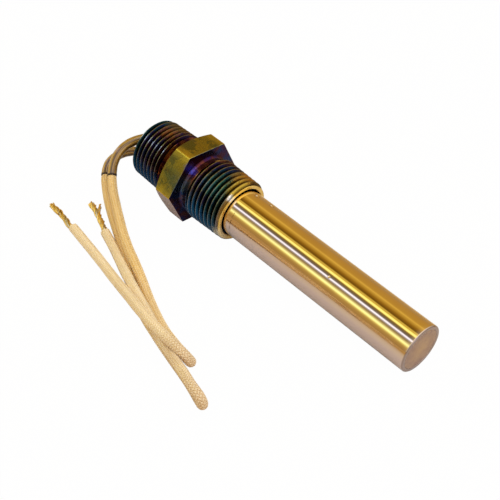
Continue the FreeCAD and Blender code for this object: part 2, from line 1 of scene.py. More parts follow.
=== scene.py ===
"""Visual model of the adjustable temperature switch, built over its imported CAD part.

The metal pieces are turned and threaded meshes, the leads are braided, sleeved and
stripped along the same routes as the CAD tubes, and every finish is procedural.
Sizes are in millimetres in the switch frame (X along the probe, 0 at the hexagon's
tip-side face) unless a name ends in _m or its own line says metres; the row frame is
in metres.
"""

import logging
import math
from dataclasses import dataclass
from enum import Enum
from typing import Callable, Union

import bmesh
import bpy
import numpy as np
from mathutils import Matrix, Vector


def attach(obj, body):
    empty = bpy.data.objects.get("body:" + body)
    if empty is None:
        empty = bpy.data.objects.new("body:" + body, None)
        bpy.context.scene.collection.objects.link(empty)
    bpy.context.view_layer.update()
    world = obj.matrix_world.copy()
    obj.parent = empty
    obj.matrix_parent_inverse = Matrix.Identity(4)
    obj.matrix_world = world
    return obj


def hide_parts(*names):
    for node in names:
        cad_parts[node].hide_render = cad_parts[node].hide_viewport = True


logging.basicConfig(level=logging.INFO, format="%(message)s")
LOG = logging.getLogger("scene")

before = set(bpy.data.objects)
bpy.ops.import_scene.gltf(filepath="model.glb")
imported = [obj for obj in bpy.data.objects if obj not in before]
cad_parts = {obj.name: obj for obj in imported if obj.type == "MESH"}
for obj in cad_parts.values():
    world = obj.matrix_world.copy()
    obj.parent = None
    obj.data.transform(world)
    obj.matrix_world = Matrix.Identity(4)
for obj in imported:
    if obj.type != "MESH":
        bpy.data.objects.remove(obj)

MM = 0.001
TURN = 2.0 * math.pi
WHITE = (1.0, 1.0, 1.0, 1.0)


# Frames, objects and a numeric helper

@dataclass(frozen=True)
class Lie:
    """How the switch lies on the floor: switch-frame millimetres to row-frame metres.

    Args:
        tilt: angle of the probe below the level, in radians.
        shift: row X of the hexagon's tip-side face centre, in mm.
        height: row Z of that centre, in mm.
    """

    tilt: float = math.radians(2.97913)
    shift: float = -33.92546
    height: float = 12.68284

    def to_row(self, points: np.ndarray) -> np.ndarray:
        """Turn an (n, 3) array of switch-frame points into row-frame metres.

        Args:
            points: switch-frame points in mm.

        Returns:
            The same points in the row frame in metres.
        """
        cos_t, sin_t = math.cos(self.tilt), math.sin(self.tilt)
        x, y, z = points[:, 0], points[:, 1], points[:, 2]
        row = np.stack([x * cos_t + z * sin_t + self.shift, y,
                        -x * sin_t + z * cos_t + self.height], axis=1)
        return row * MM


LIE = Lie()


def smooth_step(low: float, high: float, value: np.ndarray) -> np.ndarray:
    """Ease from 0 to 1 between two limits.

    Args:
        low: where the result leaves 0.
        high: where the result reaches 1.
        value: the array to ease.

    Returns:
        An array between 0 and 1.
    """
    t = np.clip((value - low) / (high - low), 0.0, 1.0)
    return t * t * (3.0 - 2.0 * t)


def add_object(name: str, data: bpy.types.ID) -> bpy.types.Object:
    """Add an object with its data to the scene, at the origin."""
    obj = bpy.data.objects.new(name, data)
    bpy.context.scene.collection.objects.link(obj)
    return obj


def make_mesh(name: str, points_m: np.ndarray, faces: list, sharp_deg: float = 35.0,
              merge_m: float = 0.0) -> bpy.types.Object:
    """Make a smooth-shaded mesh object at the origin.

    Args:
        name: the object's name.
        points_m: row-frame vertices in metres.
        faces: vertex index tuples.
        sharp_deg: edges that bend by more than this stay sharp.
        merge_m: vertices closer than this are merged; 0 leaves them.

    Returns:
        The new object, linked to the scene.
    """
    mesh = bpy.data.meshes.new(name)
    mesh.from_pydata([tuple(p) for p in points_m], [], faces)
    if merge_m > 0.0:
        work = bmesh.new()
        work.from_mesh(mesh)
        bmesh.ops.remove_doubles(work, verts=work.verts, dist=merge_m)
        bmesh.ops.dissolve_degenerate(work, edges=work.edges, dist=merge_m)
        bmesh.ops.recalc_face_normals(work, faces=work.faces)
        work.to_mesh(mesh)
        work.free()
    mesh.update()
    mesh.polygons.foreach_set("use_smooth", [True] * len(mesh.polygons))
    mesh.set_sharp_from_angle(angle=math.radians(sharp_deg))
    return add_object(name, mesh)


# Shader tree helper and shared shader groups

Socket = bpy.types.NodeSocket
Input = Union[Socket, Enum, float, tuple, None]


def rgba(colour: Input) -> Input:
    """Give a colour of three numbers, or a named one, its alpha; a socket stays as it is."""
    if isinstance(colour, Enum):
        colour = colour.value
    return (*colour, 1.0) if isinstance(colour, tuple) else colour


class Tree:
    """Short calls for building a node tree, where inputs take sockets or constants."""

    def __init__(self, tree: bpy.types.NodeTree) -> None:
        """Wrap a node tree.

        Args:
            tree: the tree to build in.
        """
        self.tree = tree

    def feed(self, socket: Socket, value: Input) -> None:
        """Link a socket to an input, or set the input's constant.

        Args:
            socket: the input socket.
            value: an output socket, a number, a colour or a vector.
        """
        if isinstance(value, bpy.types.NodeSocket):
            self.tree.links.new(value, socket)
        else:
            socket.default_value = value

    def node(self, kind: str, inputs: dict = None, **settings) -> bpy.types.Node:
        """Add a node.

        Args:
            kind: the node's type name.
            inputs: values or sockets by input name or index; None leaves an input alone.
            settings: node properties.

        Returns:
            The node.
        """
        made = self.tree.nodes.new(kind)
        for key, value in settings.items():
            setattr(made, key, value)
        for key, value in (inputs or {}).items():
            if value is not None:
                self.feed(made.inputs[key], value)
        return made

    def fill(self, node: bpy.types.Node, **inputs: Input) -> bpy.types.Node:
        """Feed a node's inputs by name, with underscores in names read as spaces."""
        for key, value in inputs.items():
            self.feed(node.inputs[key.replace("_", " ")], value)
        return node

    def use(self, group: bpy.types.NodeTree, **inputs: Input) -> bpy.types.Node:
        """Add a shader group node and feed it."""
        return self.fill(self.node("ShaderNodeGroup", node_tree=group), **inputs)

    def math(self, operation: str, a: Input, b: Input = None, clamp: bool = False) -> Socket:
        """Add a math node and return its result."""
        return self.node("ShaderNodeMath", {0: a, 1: b}, operation=operation, use_clamp=clamp).outputs[0]

    def plus(self, a: Input, b: Input) -> Socket:
        """Return the sum of two values."""
        return self.math("ADD", a, b)

    def minus(self, a: Input, b: Input) -> Socket:
        """Return the first value less the second."""
        return self.math("SUBTRACT", a, b)

    def times(self, a: Input, b: Input) -> Socket:
        """Return the product of two values."""
        return self.math("MULTIPLY", a, b)

    def divided(self, a: Input, b: Input) -> Socket:
        """Return the first value divided by the second."""
        return self.math("DIVIDE", a, b)

    def off(self, value: Input, middle: Input) -> Socket:
        """Return how far a value is from a middle one, on either side."""
        return self.math("ABSOLUTE", self.minus(value, middle))

    def between(self, value: Input, low: float, high: float) -> Socket:
        """Return 1 where a value lies between two limits, otherwise 0."""
        return self.times(self.math("GREATER_THAN", value, low), self.math("LESS_THAN", value, high))

    def vector(self, operation: str, a: Input, b: Input = None, scale: Input = None) -> Socket:
        """Add a vector math node and return its vector, or the value of a length."""
        made = self.node("ShaderNodeVectorMath", {0: a, 1: b, "Scale": scale}, operation=operation)
        return made.outputs["Value" if operation == "LENGTH" else 0]

    def gap(self, point: Input, place: Input) -> Socket:
        """Return the distance between two points."""
        return self.vector("LENGTH", self.vector("SUBTRACT", point, place))

    def split(self, vector: Input) -> tuple:
        """Return the three components of a vector."""
        return tuple(self.node("ShaderNodeSeparateXYZ", {0: vector}).outputs)

    def join(self, x: Input = 0.0, y: Input = 0.0, z: Input = 0.0) -> Socket:
        """Return the vector of three components."""
        return self.node("ShaderNodeCombineXYZ", {0: x, 1: y, 2: z}).outputs[0]

    def untilt(self, vector: Input) -> Socket:
        """Turn a row-frame vector back by the probe's tilt."""
        return self.node("ShaderNodeVectorRotate", {"Vector": vector, "Axis": (0, 1, 0), "Angle": -LIE.tilt},
                         rotation_type="AXIS_ANGLE").outputs[0]

    def attribute(self, name: str) -> Socket:
        """Return a number that is stored on the mesh."""
        return self.node("ShaderNodeAttribute", attribute_name=name).outputs["Fac"]

    def spread(self, value: Input, low: Input, high: Input, to_low: Input = 0.0,
               to_high: Input = 1.0) -> Socket:
        """Ease a value from one range to another, clamped at both ends."""
        given = {0: value, 1: low, 2: high, 3: to_low, 4: to_high}
        return self.node("ShaderNodeMapRange", given, interpolation_type="SMOOTHSTEP").outputs[0]

    def mix(self, factor: Input, a: Input, b: Input) -> Socket:
        """Mix two colours."""
        given = {0: factor, 6: rgba(a), 7: rgba(b)}
        return self.node("ShaderNodeMix", given, data_type="RGBA").outputs[2]

    def ramp(self, factor: Input, stops: tuple) -> Socket:
        """Add a colour ramp.

        Args:
            factor: the value looked up.
            stops: (position, colour) pairs, a colour of one or three numbers.

        Returns:
            The colour socket.
        """
        made = self.node("ShaderNodeValToRGB", {"Fac": factor})
        elements = made.color_ramp.elements
        while len(elements) < len(stops):
            elements.new(0.5)
        for element, (position, colour) in zip(elements, stops):
            element.position = position
            element.color = rgba((colour,) * 3 if isinstance(colour, (int, float)) else colour)
        return made.outputs["Color"]

    def noise(self, coordinate: Input, scale: Input, detail: float = 3.0, roughness: float = 0.55,
              distortion: float = 0.0) -> Socket:
        """Add a noise texture and return its value."""
        return self.node("ShaderNodeTexNoise", {
            "Vector": coordinate, "Scale": scale, "Detail": detail,
            "Roughness": roughness, "Distortion": distortion}).outputs[0]


def start_group(name: str, inputs: tuple, outputs: tuple, kind: str = "ShaderNodeTree",
                builder: type = Tree) -> tuple:
    """Start a node group.

    Args:
        name: the group's name.
        inputs: (name, socket type, default) for each input.
        outputs: (name, socket type) for each output.
        kind: the tree's type name.
        builder: the class that builds in it.

    Returns:
        The tree, its builder, the group's given sockets and its output node.
    """
    tree = bpy.data.node_groups.new(name, kind)
    for label, kind, default in inputs:
        socket = tree.interface.new_socket(name=label, in_out="INPUT", socket_type=kind)
        if default is not None:
            socket.default_value = default
    for label, kind in outputs:
        tree.interface.new_socket(name=label, in_out="OUTPUT", socket_type=kind)
    build = builder(tree)
    return tree, build, build.node("NodeGroupInput").outputs, build.node("NodeGroupOutput")


FLOAT = "NodeSocketFloat"
COLOUR = "NodeSocketColor"
VECTOR = "NodeSocketVector"


class Groups:
    """The shader groups that several finishes share."""

    def __init__(self) -> None:
        """Build every group once."""
        self.place = self._place()
        self.thread = self._thread()
        self.temper = self._temper()
        self.mottle = self._mottle()
        self.drawn = self._drawn()
        self.faced = self._faced()
        self.yarn = self._yarn()

    @staticmethod
    def _place() -> bpy.types.NodeTree:
        """Switch-frame coordinates in mm: the point, its place along, its radius and its turn."""
        tree, t, _, out = start_group("Switch place", (), (
            ("Local", VECTOR), ("Along", FLOAT), ("Radius", FLOAT), ("Turn", FLOAT)))
        point = t.node("ShaderNodeTexCoord").outputs["Object"]
        moved = t.vector("SUBTRACT", point, (LIE.shift * MM, 0.0, LIE.height * MM))
        local = t.vector("SCALE", t.untilt(moved), scale=1.0 / MM)
        x, y, z = t.split(local)
        radius = t.vector("LENGTH", t.join(0.0, y, z))
        turn = t.divided(t.math("ARCTAN2", z, y), TURN)
        t.fill(out, Local=local, Along=x, Radius=radius, Turn=turn)
        return tree

    @staticmethod
    def _thread() -> bpy.types.NodeTree:
        """Masks of a right-hand thread's crests and roots."""
        tree, t, given, out = start_group("Thread masks", (
            ("Along", FLOAT, 0.0), ("Turn", FLOAT, 0.0), ("Pitch", FLOAT, 1.8143), ("Start", FLOAT, 0.0),
            ("Crest Width", FLOAT, 0.045)), (("Crest", FLOAT), ("Root", FLOAT)))
        turns = t.divided(t.minus(given["Along"], given["Start"]), given["Pitch"])
        phase = t.math("FRACT", t.minus(turns, given["Turn"]))
        away = t.math("MINIMUM", phase, t.minus(1.0, phase))
        crest_fade, root_from, root_to = 1.9, 0.12, 0.38
        crest_end = t.times(given["Crest Width"], crest_fade)
        t.fill(out, Crest=t.spread(away, given["Crest Width"], crest_end, 1.0, 0.0),
               Root=t.spread(away, root_from, root_to))
        return tree

    @staticmethod
    def _temper() -> bpy.types.NodeTree:
        """Heat-tint colours of steel, from straw through purple and blue to pale gold."""
        tree, t, given, out = start_group("Temper colours", (("Temper", FLOAT, 0.5),),
                                          (("Colour", COLOUR),))
        t.fill(out, Colour=t.ramp(given["Temper"], (
            (0.00, (0.62, 0.48, 0.20)), (0.10, (0.50, 0.30, 0.06)), (0.20, (0.28, 0.11, 0.025)),
            (0.28, (0.13, 0.035, 0.02)), (0.36, (0.055, 0.012, 0.028)), (0.45, (0.028, 0.012, 0.075)),
            (0.54, (0.010, 0.028, 0.115)), (0.62, (0.006, 0.060, 0.095)), (0.70, (0.016, 0.070, 0.060)),
            (0.78, (0.06, 0.08, 0.035)), (0.86, (0.32, 0.17, 0.04)), (0.93, (0.62, 0.37, 0.06)),
            (1.00, (0.86, 0.64, 0.22)))))
        return tree

    @staticmethod
    def _mottle() -> bpy.types.NodeTree:
        """Blotches and fine grain for patina."""
        tree, t, given, out = start_group("Mottle", (
            ("Local", VECTOR, None), ("Blotch Scale", FLOAT, 0.4), ("Grain Scale", FLOAT, 3.0)),
            (("Blotch", FLOAT), ("Grain", FLOAT)))
        blotch = t.noise(given["Local"], given["Blotch Scale"], 4.0, 0.5, 0.8)
        grain = t.noise(given["Local"], given["Grain Scale"], 6.0, 0.65)
        t.fill(out, Blotch=t.spread(blotch, 0.35, 0.65), Grain=t.spread(grain, 0.3, 0.7))
        return tree

    @staticmethod
    def _drawn() -> bpy.types.NodeTree:
        """Fine polishing lines that run along the probe."""
        tree, t, given, out = start_group("Drawn lines", (
            ("Local", VECTOR, None), ("Stretch", FLOAT, 0.02), ("Fineness", FLOAT, 6.0)),
            (("Height", FLOAT),))
        x, y, z = t.split(given["Local"])
        drawn = t.join(t.times(x, given["Stretch"]), y, z)
        t.fill(out, Height=t.noise(drawn, given["Fineness"], 4.0, 0.6))
        return tree

    @staticmethod
    def _faced() -> bpy.types.NodeTree:
        """Concentric tool marks of a faced or turned surface."""
        tree, t, given, out = start_group("Faced rings", (
            ("Distance", FLOAT, 0.0), ("Feed", FLOAT, 0.25), ("Local", VECTOR, None)),
            (("Height", FLOAT),))
        wobble = t.noise(given["Local"], 1.2, 2.0)
        count = t.divided(t.plus(given["Distance"], t.times(wobble, 0.18)), given["Feed"])
        wave = t.math("SINE", t.times(count, TURN))
        line = t.node("ShaderNodeTexNoise", {"W": t.times(count, 0.7), "Scale": 1.0, "Detail": 3.0},
                      noise_dimensions="1D")
        t.fill(out, Height=t.plus(t.times(wave, 0.25), line.outputs[0]))
        return tree

    @staticmethod
    def _yarn() -> bpy.types.NodeTree:
        """Filaments of a flat yarn and how its colour varies from yarn to yarn."""
        tree, t, _, out = start_group("Yarn filaments", (), (
            ("Height", FLOAT), ("Tone", FLOAT), ("Along", FLOAT)))
        along, across, own = t.attribute("along"), t.attribute("across"), t.attribute("yarn")
        fibre_along, fibre_across, blotch_along = 350.0, 26.0, 900.0
        place = t.join(t.times(along, fibre_along), t.times(across, fibre_across), own)
        fibre = t.noise(place, 1.0, 3.0, 0.6)
        blotch = t.noise(t.join(t.times(along, blotch_along), own), 1.0, 2.0)
        tone = t.plus(t.times(fibre, 0.55), t.times(blotch, 0.45))
        t.fill(out, Height=fibre, Tone=tone, Along=along)
        return tree


GROUPS = Groups()


# Finishes

MADE = {}


class Tint(Enum):
    """Colours that the finishes mix, in linear light."""

    OLIVE = (0.27, 0.225, 0.045)
    MOSS = (0.13, 0.13, 0.05)
    MOSS_GRAIN = (0.09, 0.11, 0.05)
    # Painted highlight along the hexagon's corners.
    CORNER_HIGHLIGHT = (0.78, 0.62, 0.10)
    FLAT_STAIN = (0.10, 0.13, 0.07)
    FLAT_BELOW = (0.50, 0.37, 0.36)
    SOOT = (0.004, 0.005, 0.008)
    # Painted shade in the thread roots.
    ROOT_SHADE = (0.003, 0.003, 0.005)
    LOW_BLUE = (0.010, 0.095, 0.24)
    REAR_BRONZE = (0.34, 0.12, 0.010)
    # Crest colours: partly wear, partly painted highlight; GLINT is a painted highlight on the crests.
    CREST_LOW = (0.27, 0.33, 0.38)
    CREST_HIGH = (0.34, 0.29, 0.13)
    GLINT = (0.80, 0.95, 1.0)
    STRAW = (0.80, 0.65, 0.42)
    STRAW_DEEP = (0.76, 0.61, 0.40)
    SHELL_BELOW = (0.67, 0.54, 0.51)
    RING_BROWN = (0.10, 0.035, 0.012)
    TIP_EDGE = (0.36, 0.28, 0.26)
    DENT_RIM = (0.30, 0.17, 0.08)
    DENT_GLEAM = (1.0, 0.90, 0.62)
    CAP_WARM = (0.60, 0.44, 0.26)
    SLEEVE_END = (0.020, 0.008, 0.004)
    FOLD_TAN = (0.68, 0.48, 0.27)
    # Painted highlight and shade at the braid's crossings.
    YARN_OVER_HIGHLIGHT = (1.0, 0.91, 0.72)
    YARN_UNDER_SHADE = (0.45, 0.28, 0.10)
    WIRE_GOLD = (0.95, 0.70, 0.22)
    WIRE_TARNISH = (0.42, 0.23, 0.05)
    WIRE_SILVER = (0.72, 0.68, 0.6)
    PAPER = (0.76, 0.73, 0.72)
    PAPER_FAR = (0.54, 0.37, 0.17)
    SOFTBOX = (1.8, 1.8, 2.0)


class Finish:
    """A procedural material. Subclasses fill in the Principled shader's inputs."""

    name: str

    def shade(self, t: Tree, surface: bpy.types.Node) -> None:
        """Feed the surface shader.

        Args:
            t: the material's tree builder.
            surface: its Principled BSDF.
        """
        raise NotImplementedError

    def build(self) -> bpy.types.Material:
        """Return this finish's material, made on first use."""
        if self.name not in MADE:
            material = bpy.data.materials.new("finish_" + self.name)
            material.use_nodes = True
            t = Tree(material.node_tree)
            self.shade(t, material.node_tree.nodes["Principled BSDF"])
            MADE[self.name] = material
        return MADE[self.name]


def bump(t: Tree, surface: bpy.types.Node, height: Socket, strength: float, depth_mm: float) -> None:
    """Drive a surface's normal from a height socket."""
    made = t.node("ShaderNodeBump", {"Height": height, "Strength": strength, "Distance": depth_mm * MM})
    t.feed(surface.inputs["Normal"], made.outputs[0])


@dataclass(frozen=True)
class NippleSteel(Finish):
    """Machined steel with the strong heat tint of the nipple.

    Args:
        name: the material's name.
        pitch: the pitch of both threads.
        zones: temper at places along the axis, from the rear face to the mouth.
        hexagon: where the hexagon's colours begin and end along the axis.
        hexagon_radius: the colours lie further out than this.
        rear_thread: a crest at angle 0, and where the thread's masks begin and end.
        front_thread: the same for the thread beside the probe.
        stain: centre of the stain on the flat towards the leads.
        bronze: centre of the bronze patch on the rear thread.
        glint_turn: turn of the bright line on the rear crests, from +Y towards +Z.
        patches: place, size, share and colour of each further patch: tints, and painted highlights on the
            hexagon's face and the mouth ring.
    """

    name: str = "nipple_steel"
    pitch: float = 1.8143
    zones: tuple = (
        (-23.9, 0.66), (-22.4, 0.60), (-20.5, 0.50), (-18.0, 0.42), (-14.5, 0.37), (-11.5, 0.33),
        (-9.0, 0.27), (-7.6, 0.30), (-0.1, 0.44), (0.9, 0.38), (1.9, 0.27), (3.0, 0.24), (3.9, 0.34),
        (6.0, 0.42), (8.5, 0.50), (11.0, 0.58), (13.2, 0.65), (14.8, 0.72), (16.2, 0.76),
        (17.2, 0.83), (17.7, 0.93), (18.2, 1.0))
    hexagon: tuple = (-7.62, -0.06)
    hexagon_radius: float = 11.6
    rear_thread: tuple = (-23.9, -23.5, -11.0)
    front_thread: tuple = (18.2, 3.0, 17.8)
    stain: tuple = (-3.6, -11.6, 6.0)
    bronze: tuple = (-16.8, -0.8, 10.4)
    glint_turn: float = 0.362
    patches: tuple = (
        # Painted highlight: a blue glint on the hexagon's front face by the neck.
        ((0.8, -7.0, 9.1), 3.4, 0.75, (0.07, 0.09, 0.55)),
        # Orange tint on the last turns of the front thread.
        ((14.2, 2.2, 9.6), 5.0, 0.66, (0.60, 0.31, 0.03)),
        ((13.4, 6.0, 7.8), 4.8, 0.70, (0.60, 0.30, 0.03)),
        # Painted highlights on the mouth ring: bright yellow, a white glint, and a pale patch below.
        ((18.2, -1.8, 9.3), 6.5, 0.60, (0.95, 0.66, 0.08)),
        ((18.2, -5.6, 7.9), 2.0, 0.95, (1.0, 0.97, 0.90)),
        ((18.2, -7.5, -5.0), 5.5, 0.60, (1.0, 0.88, 0.60)),
        # Tint patches on the threads.
        ((-18.5, 4.5, 9.4), 6.0, 0.60, (0.15, 0.09, 0.005)),
        ((10.5, -5.0, 8.6), 7.0, 0.45, (0.06, 0.20, 0.14)),
        ((5.0, -9.6, 0.0), 8.0, 0.40, (0.01, 0.14, 0.30)),
        ((0.0, -10.6, 4.5), 5.5, 0.45, (0.09, 0.13, 0.14)),
    )

    def temper(self, t: Tree, along: Socket, blotch: Socket) -> Socket:
        """Heat tint of the turned parts.

        Args:
            t: the material's tree builder.
            along: place along the axis.
            blotch: a slow mottle from 0 to 1.

        Returns:
            The tint: the zone's, with a drift that calms towards the mouth.
        """
        start = self.zones[0][0]
        span = self.zones[-1][0] - start
        zone = t.ramp(t.divided(t.minus(along, start), span),
                      tuple(((x - start) / span, level) for x, level in self.zones))
        drift = t.times(t.minus(blotch, 0.5), t.spread(along, 13.0, 17.0, 0.20, 0.03))
        return t.use(GROUPS.temper, Temper=t.math("ADD", zone, drift, clamp=True)).outputs["Colour"]

    def flats(self, t: Tree, at: bpy.types.Node, height: Socket, patina: bpy.types.Node) -> Socket:
        """Colour of the hexagon: olive blotches above, a painted highlight along the corners, a stain, and
        pinkish below.

        Args:
            t: the material's tree builder.
            at: the place group's node.
            height: height over the axis.
            patina: the mottle group's node.

        Returns:
            The colour socket.
        """
        grain = patina.outputs["Grain"]
        olive = t.mix(t.spread(patina.outputs["Blotch"], 0.36, 0.64), Tint.OLIVE, Tint.MOSS)
        olive = t.mix(t.spread(grain, 0.45, 0.75, 0.0, 0.45), olive, Tint.MOSS_GRAIN)
        # Painted highlight: gold along the hexagon's corners, a wide soft band and a fine line.
        sixth = t.math("FRACT", t.plus(t.times(at.outputs["Turn"], 6.0), 6.5))
        from_corner = t.off(sixth, 0.5)
        wide = t.spread(from_corner, 0.20, 0.02, 0.0, 0.38)
        fine = t.spread(from_corner, 0.028, 0.006, 0.0, 0.45)
        olive = t.mix(t.plus(wide, fine), olive, Tint.CORNER_HIGHLIGHT)
        ragged = t.plus(t.gap(at.outputs["Local"], self.stain), t.times(grain, 2.6))
        olive = t.mix(t.times(t.spread(ragged, 5.0, 2.2), 0.7), olive, Tint.FLAT_STAIN)
        return t.mix(t.spread(height, 0.1, -0.4), olive, Tint.FLAT_BELOW)

    def threads(self, t: Tree, along: Socket, turn: Socket) -> tuple:
        """Masks of both threads.

        Args:
            t: the material's tree builder.
            along: place along the axis.
            turn: turn round the axis.

        Returns:
            The crests, the roots, the whole threaded length and the rear thread's length.
        """
        crests, roots, spans = [], [], []
        for crest, low, high in (self.rear_thread, self.front_thread):
            masks = t.use(GROUPS.thread, Along=along, Turn=turn, Pitch=self.pitch, Start=crest).outputs
            spans.append(t.between(along, low, high))
            crests.append(t.times(masks["Crest"], spans[-1]))
            roots.append(t.times(masks["Root"], spans[-1]))
        return t.plus(*crests), t.plus(*roots), t.plus(*spans), spans[0]

    def shade(self, t: Tree, surface: bpy.types.Node) -> None:
        """Tint by zone, add the patches, paint shade into the roots, and paint the crests bright: partly
        wear, partly highlight.
        """
        at = t.use(GROUPS.place)
        along, turn, local = at.outputs["Along"], at.outputs["Turn"], at.outputs["Local"]
        mottle = t.use(GROUPS.mottle, Local=local, Blotch_Scale=0.28, Grain_Scale=2.2)
        patina = t.use(GROUPS.mottle, Local=local, Blotch_Scale=0.22, Grain_Scale=2.0)
        grain = patina.outputs["Grain"]
        height = t.split(local)[2]
        crest, root, threaded, in_rear = self.threads(t, along, turn)
        tint = self.temper(t, along, mottle.outputs["Blotch"])
        on_flats = t.times(t.between(along, *self.hexagon),
                           t.math("GREATER_THAN", at.outputs["Radius"], self.hexagon_radius))
        colour = t.mix(on_flats, tint, self.flats(t, at, height, patina))
        colour = t.mix(t.times(threaded, 0.45), colour, Tint.SOOT)
        low = t.times(t.times(threaded, t.spread(height, 5.0, -6.0)), 0.75)
        colour = t.mix(low, colour, Tint.LOW_BLUE)
        ragged = t.plus(t.gap(local, self.bronze), t.times(grain, 1.6))
        colour = t.mix(t.times(t.spread(ragged, 5.2, 2.2), 0.55), colour, Tint.REAR_BRONZE)
        # Patches of tint, and painted highlights on the hexagon's face and the mouth ring.
        for place, size, share, tone in self.patches:
            ragged = t.plus(t.gap(local, place), t.times(grain, 0.3 * size))
            colour = t.mix(t.spread(ragged, size, 0.5 * size, 0.0, share), colour, tone)
        # Painted highlight on the thread crests, partly real wear: bright lines, warmer on the upper side.
        crest_wear_and_highlight_by_height = t.mix(t.spread(height, 3.0, 9.0), Tint.CREST_LOW, Tint.CREST_HIGH)
        crest_wear_and_highlight = t.mix(0.25, crest_wear_and_highlight_by_height, tint)
        # Painted highlight: a blue-white glint along one line of the rear crests.
        streak = t.spread(t.off(turn, self.glint_turn), 0.032, 0.004)
        crest_wear_and_highlight = t.mix(t.times(streak, in_rear), crest_wear_and_highlight, Tint.GLINT)
        # Painted shade: the thread roots darkened to near black.
        colour = t.mix(t.times(root, 0.8), colour, Tint.ROOT_SHADE)
        colour = t.mix(t.times(crest, t.spread(grain, 0.0, 1.0, 0.9, 0.45)), colour, crest_wear_and_highlight)
        t.fill(surface, Base_Color=colour, Metallic=1.0,
               Roughness=t.spread(mottle.outputs["Grain"], 0.0, 1.0, 0.20, 0.38))
        rings = t.use(GROUPS.faced, Distance=along, Feed=0.21, Local=local).outputs["Height"]
        bump(t, surface, t.plus(t.times(rings, 0.25), grain), 0.35, 0.02)


@dataclass(frozen=True)
class ShellSteel(Finish):
    """Polished probe with a straw tint, fine lines, a stained ring and three dents.

    Args:
        name: the material's name.
        ring: place of the broken brown ring beside the mouth.
        edge: where the darker rounded edge of the tip begins and ends.
        dents: place, size and depth of each dent.
    """

    name: str = "shell_steel"
    ring: float = 21.0
    edge: tuple = (91.45, 91.75)
    dents: tuple = (((21.52, 2.26, 7.61), 0.80, 14.0), ((27.46, 2.75, 7.45), 0.70, 14.0),
                    ((59.54, -5.03, 6.14), 0.45, 8.0))

    def ring_mask(self, t: Tree, at: bpy.types.Node) -> Socket:
        """Where the brown ring lies: wavy, broken, and only on the side of the leads."""
        wobble = t.noise(at.outputs["Local"], 1.4, 3.0)
        wavy = t.times(t.minus(wobble, 0.5), 0.9)
        from_ring = t.off(t.minus(at.outputs["Along"], self.ring), wavy)
        broken = t.times(t.spread(from_ring, 0.30, 0.05), t.spread(wobble, 0.40, 0.52, 0.0, 0.8))
        return t.times(broken, t.spread(t.math("ABSOLUTE", at.outputs["Turn"]), 0.38, 0.41))

    def shade(self, t: Tree, surface: bpy.types.Node) -> None:
        """Straw gold above, paler and pinkish below, with drawn lines."""
        at = t.use(GROUPS.place)
        local = at.outputs["Local"]
        cloud = t.use(GROUPS.mottle, Local=local, Blotch_Scale=0.07, Grain_Scale=1.3)
        gold = t.mix(cloud.outputs["Blotch"], Tint.STRAW, Tint.STRAW_DEEP)
        colour = t.mix(t.spread(t.off(at.outputs["Turn"], 0.25), 0.16, 0.27), gold, Tint.SHELL_BELOW)
        colour = t.mix(self.ring_mask(t, at), colour, Tint.RING_BROWN)
        colour = t.mix(t.spread(at.outputs["Along"], *self.edge), colour, Tint.TIP_EDGE)
        lines = t.use(GROUPS.drawn, Local=local, Stretch=0.012, Fineness=7.0).outputs["Height"]
        height = t.times(lines, 0.05)
        for place, size, deep in self.dents:
            away = t.gap(local, place)
            height = t.minus(height, t.spread(away, size, 0.0, 0.0, deep))
            colour = t.mix(t.spread(t.off(away, size), 0.22, 0.0, 0.0, 0.6), colour, Tint.DENT_RIM)
            colour = t.mix(t.spread(away, 0.8 * size, 0.0, 0.0, 0.8), colour, Tint.DENT_GLEAM)
        t.fill(surface, Base_Color=colour, Metallic=1.0, Roughness=t.spread(lines, 0.3, 0.7, 0.04, 0.09))
        bump(t, surface, height, 1.0, 0.02)


@dataclass(frozen=True)
class CapSteel(Finish):
    """Faced end of the probe, mauve brown with a warmer middle.

    Args:
        name: the material's name.
        rim: the radius at which the colours by radius end.
    """

    name: str = "cap_steel"
    rim: float = 8.0

    def shade(self, t: Tree, surface: bpy.types.Node) -> None:
        """Concentric tool marks and a warm stain in the middle."""
        at = t.use(GROUPS.place)
        local, radius = at.outputs["Local"], at.outputs["Radius"]
        mottle = t.use(GROUPS.mottle, Local=local, Blotch_Scale=0.35, Grain_Scale=3.0)
        colour = t.ramp(t.divided(radius, self.rim), (
            (0.0, (0.55, 0.38, 0.22)), (0.45, (0.44, 0.29, 0.21)), (0.8, (0.38, 0.26, 0.22)),
            (1.0, (0.50, 0.40, 0.33))))
        colour = t.mix(t.times(mottle.outputs["Blotch"], 0.35), colour, Tint.CAP_WARM)
        t.fill(surface, Base_Color=colour, Metallic=1.0,
               Roughness=t.spread(mottle.outputs["Grain"], 0.0, 1.0, 0.34, 0.5))
        rings = t.use(GROUPS.faced, Distance=radius, Feed=0.42, Local=local).outputs["Height"]
        bump(t, surface, rings, 0.45, 0.03)


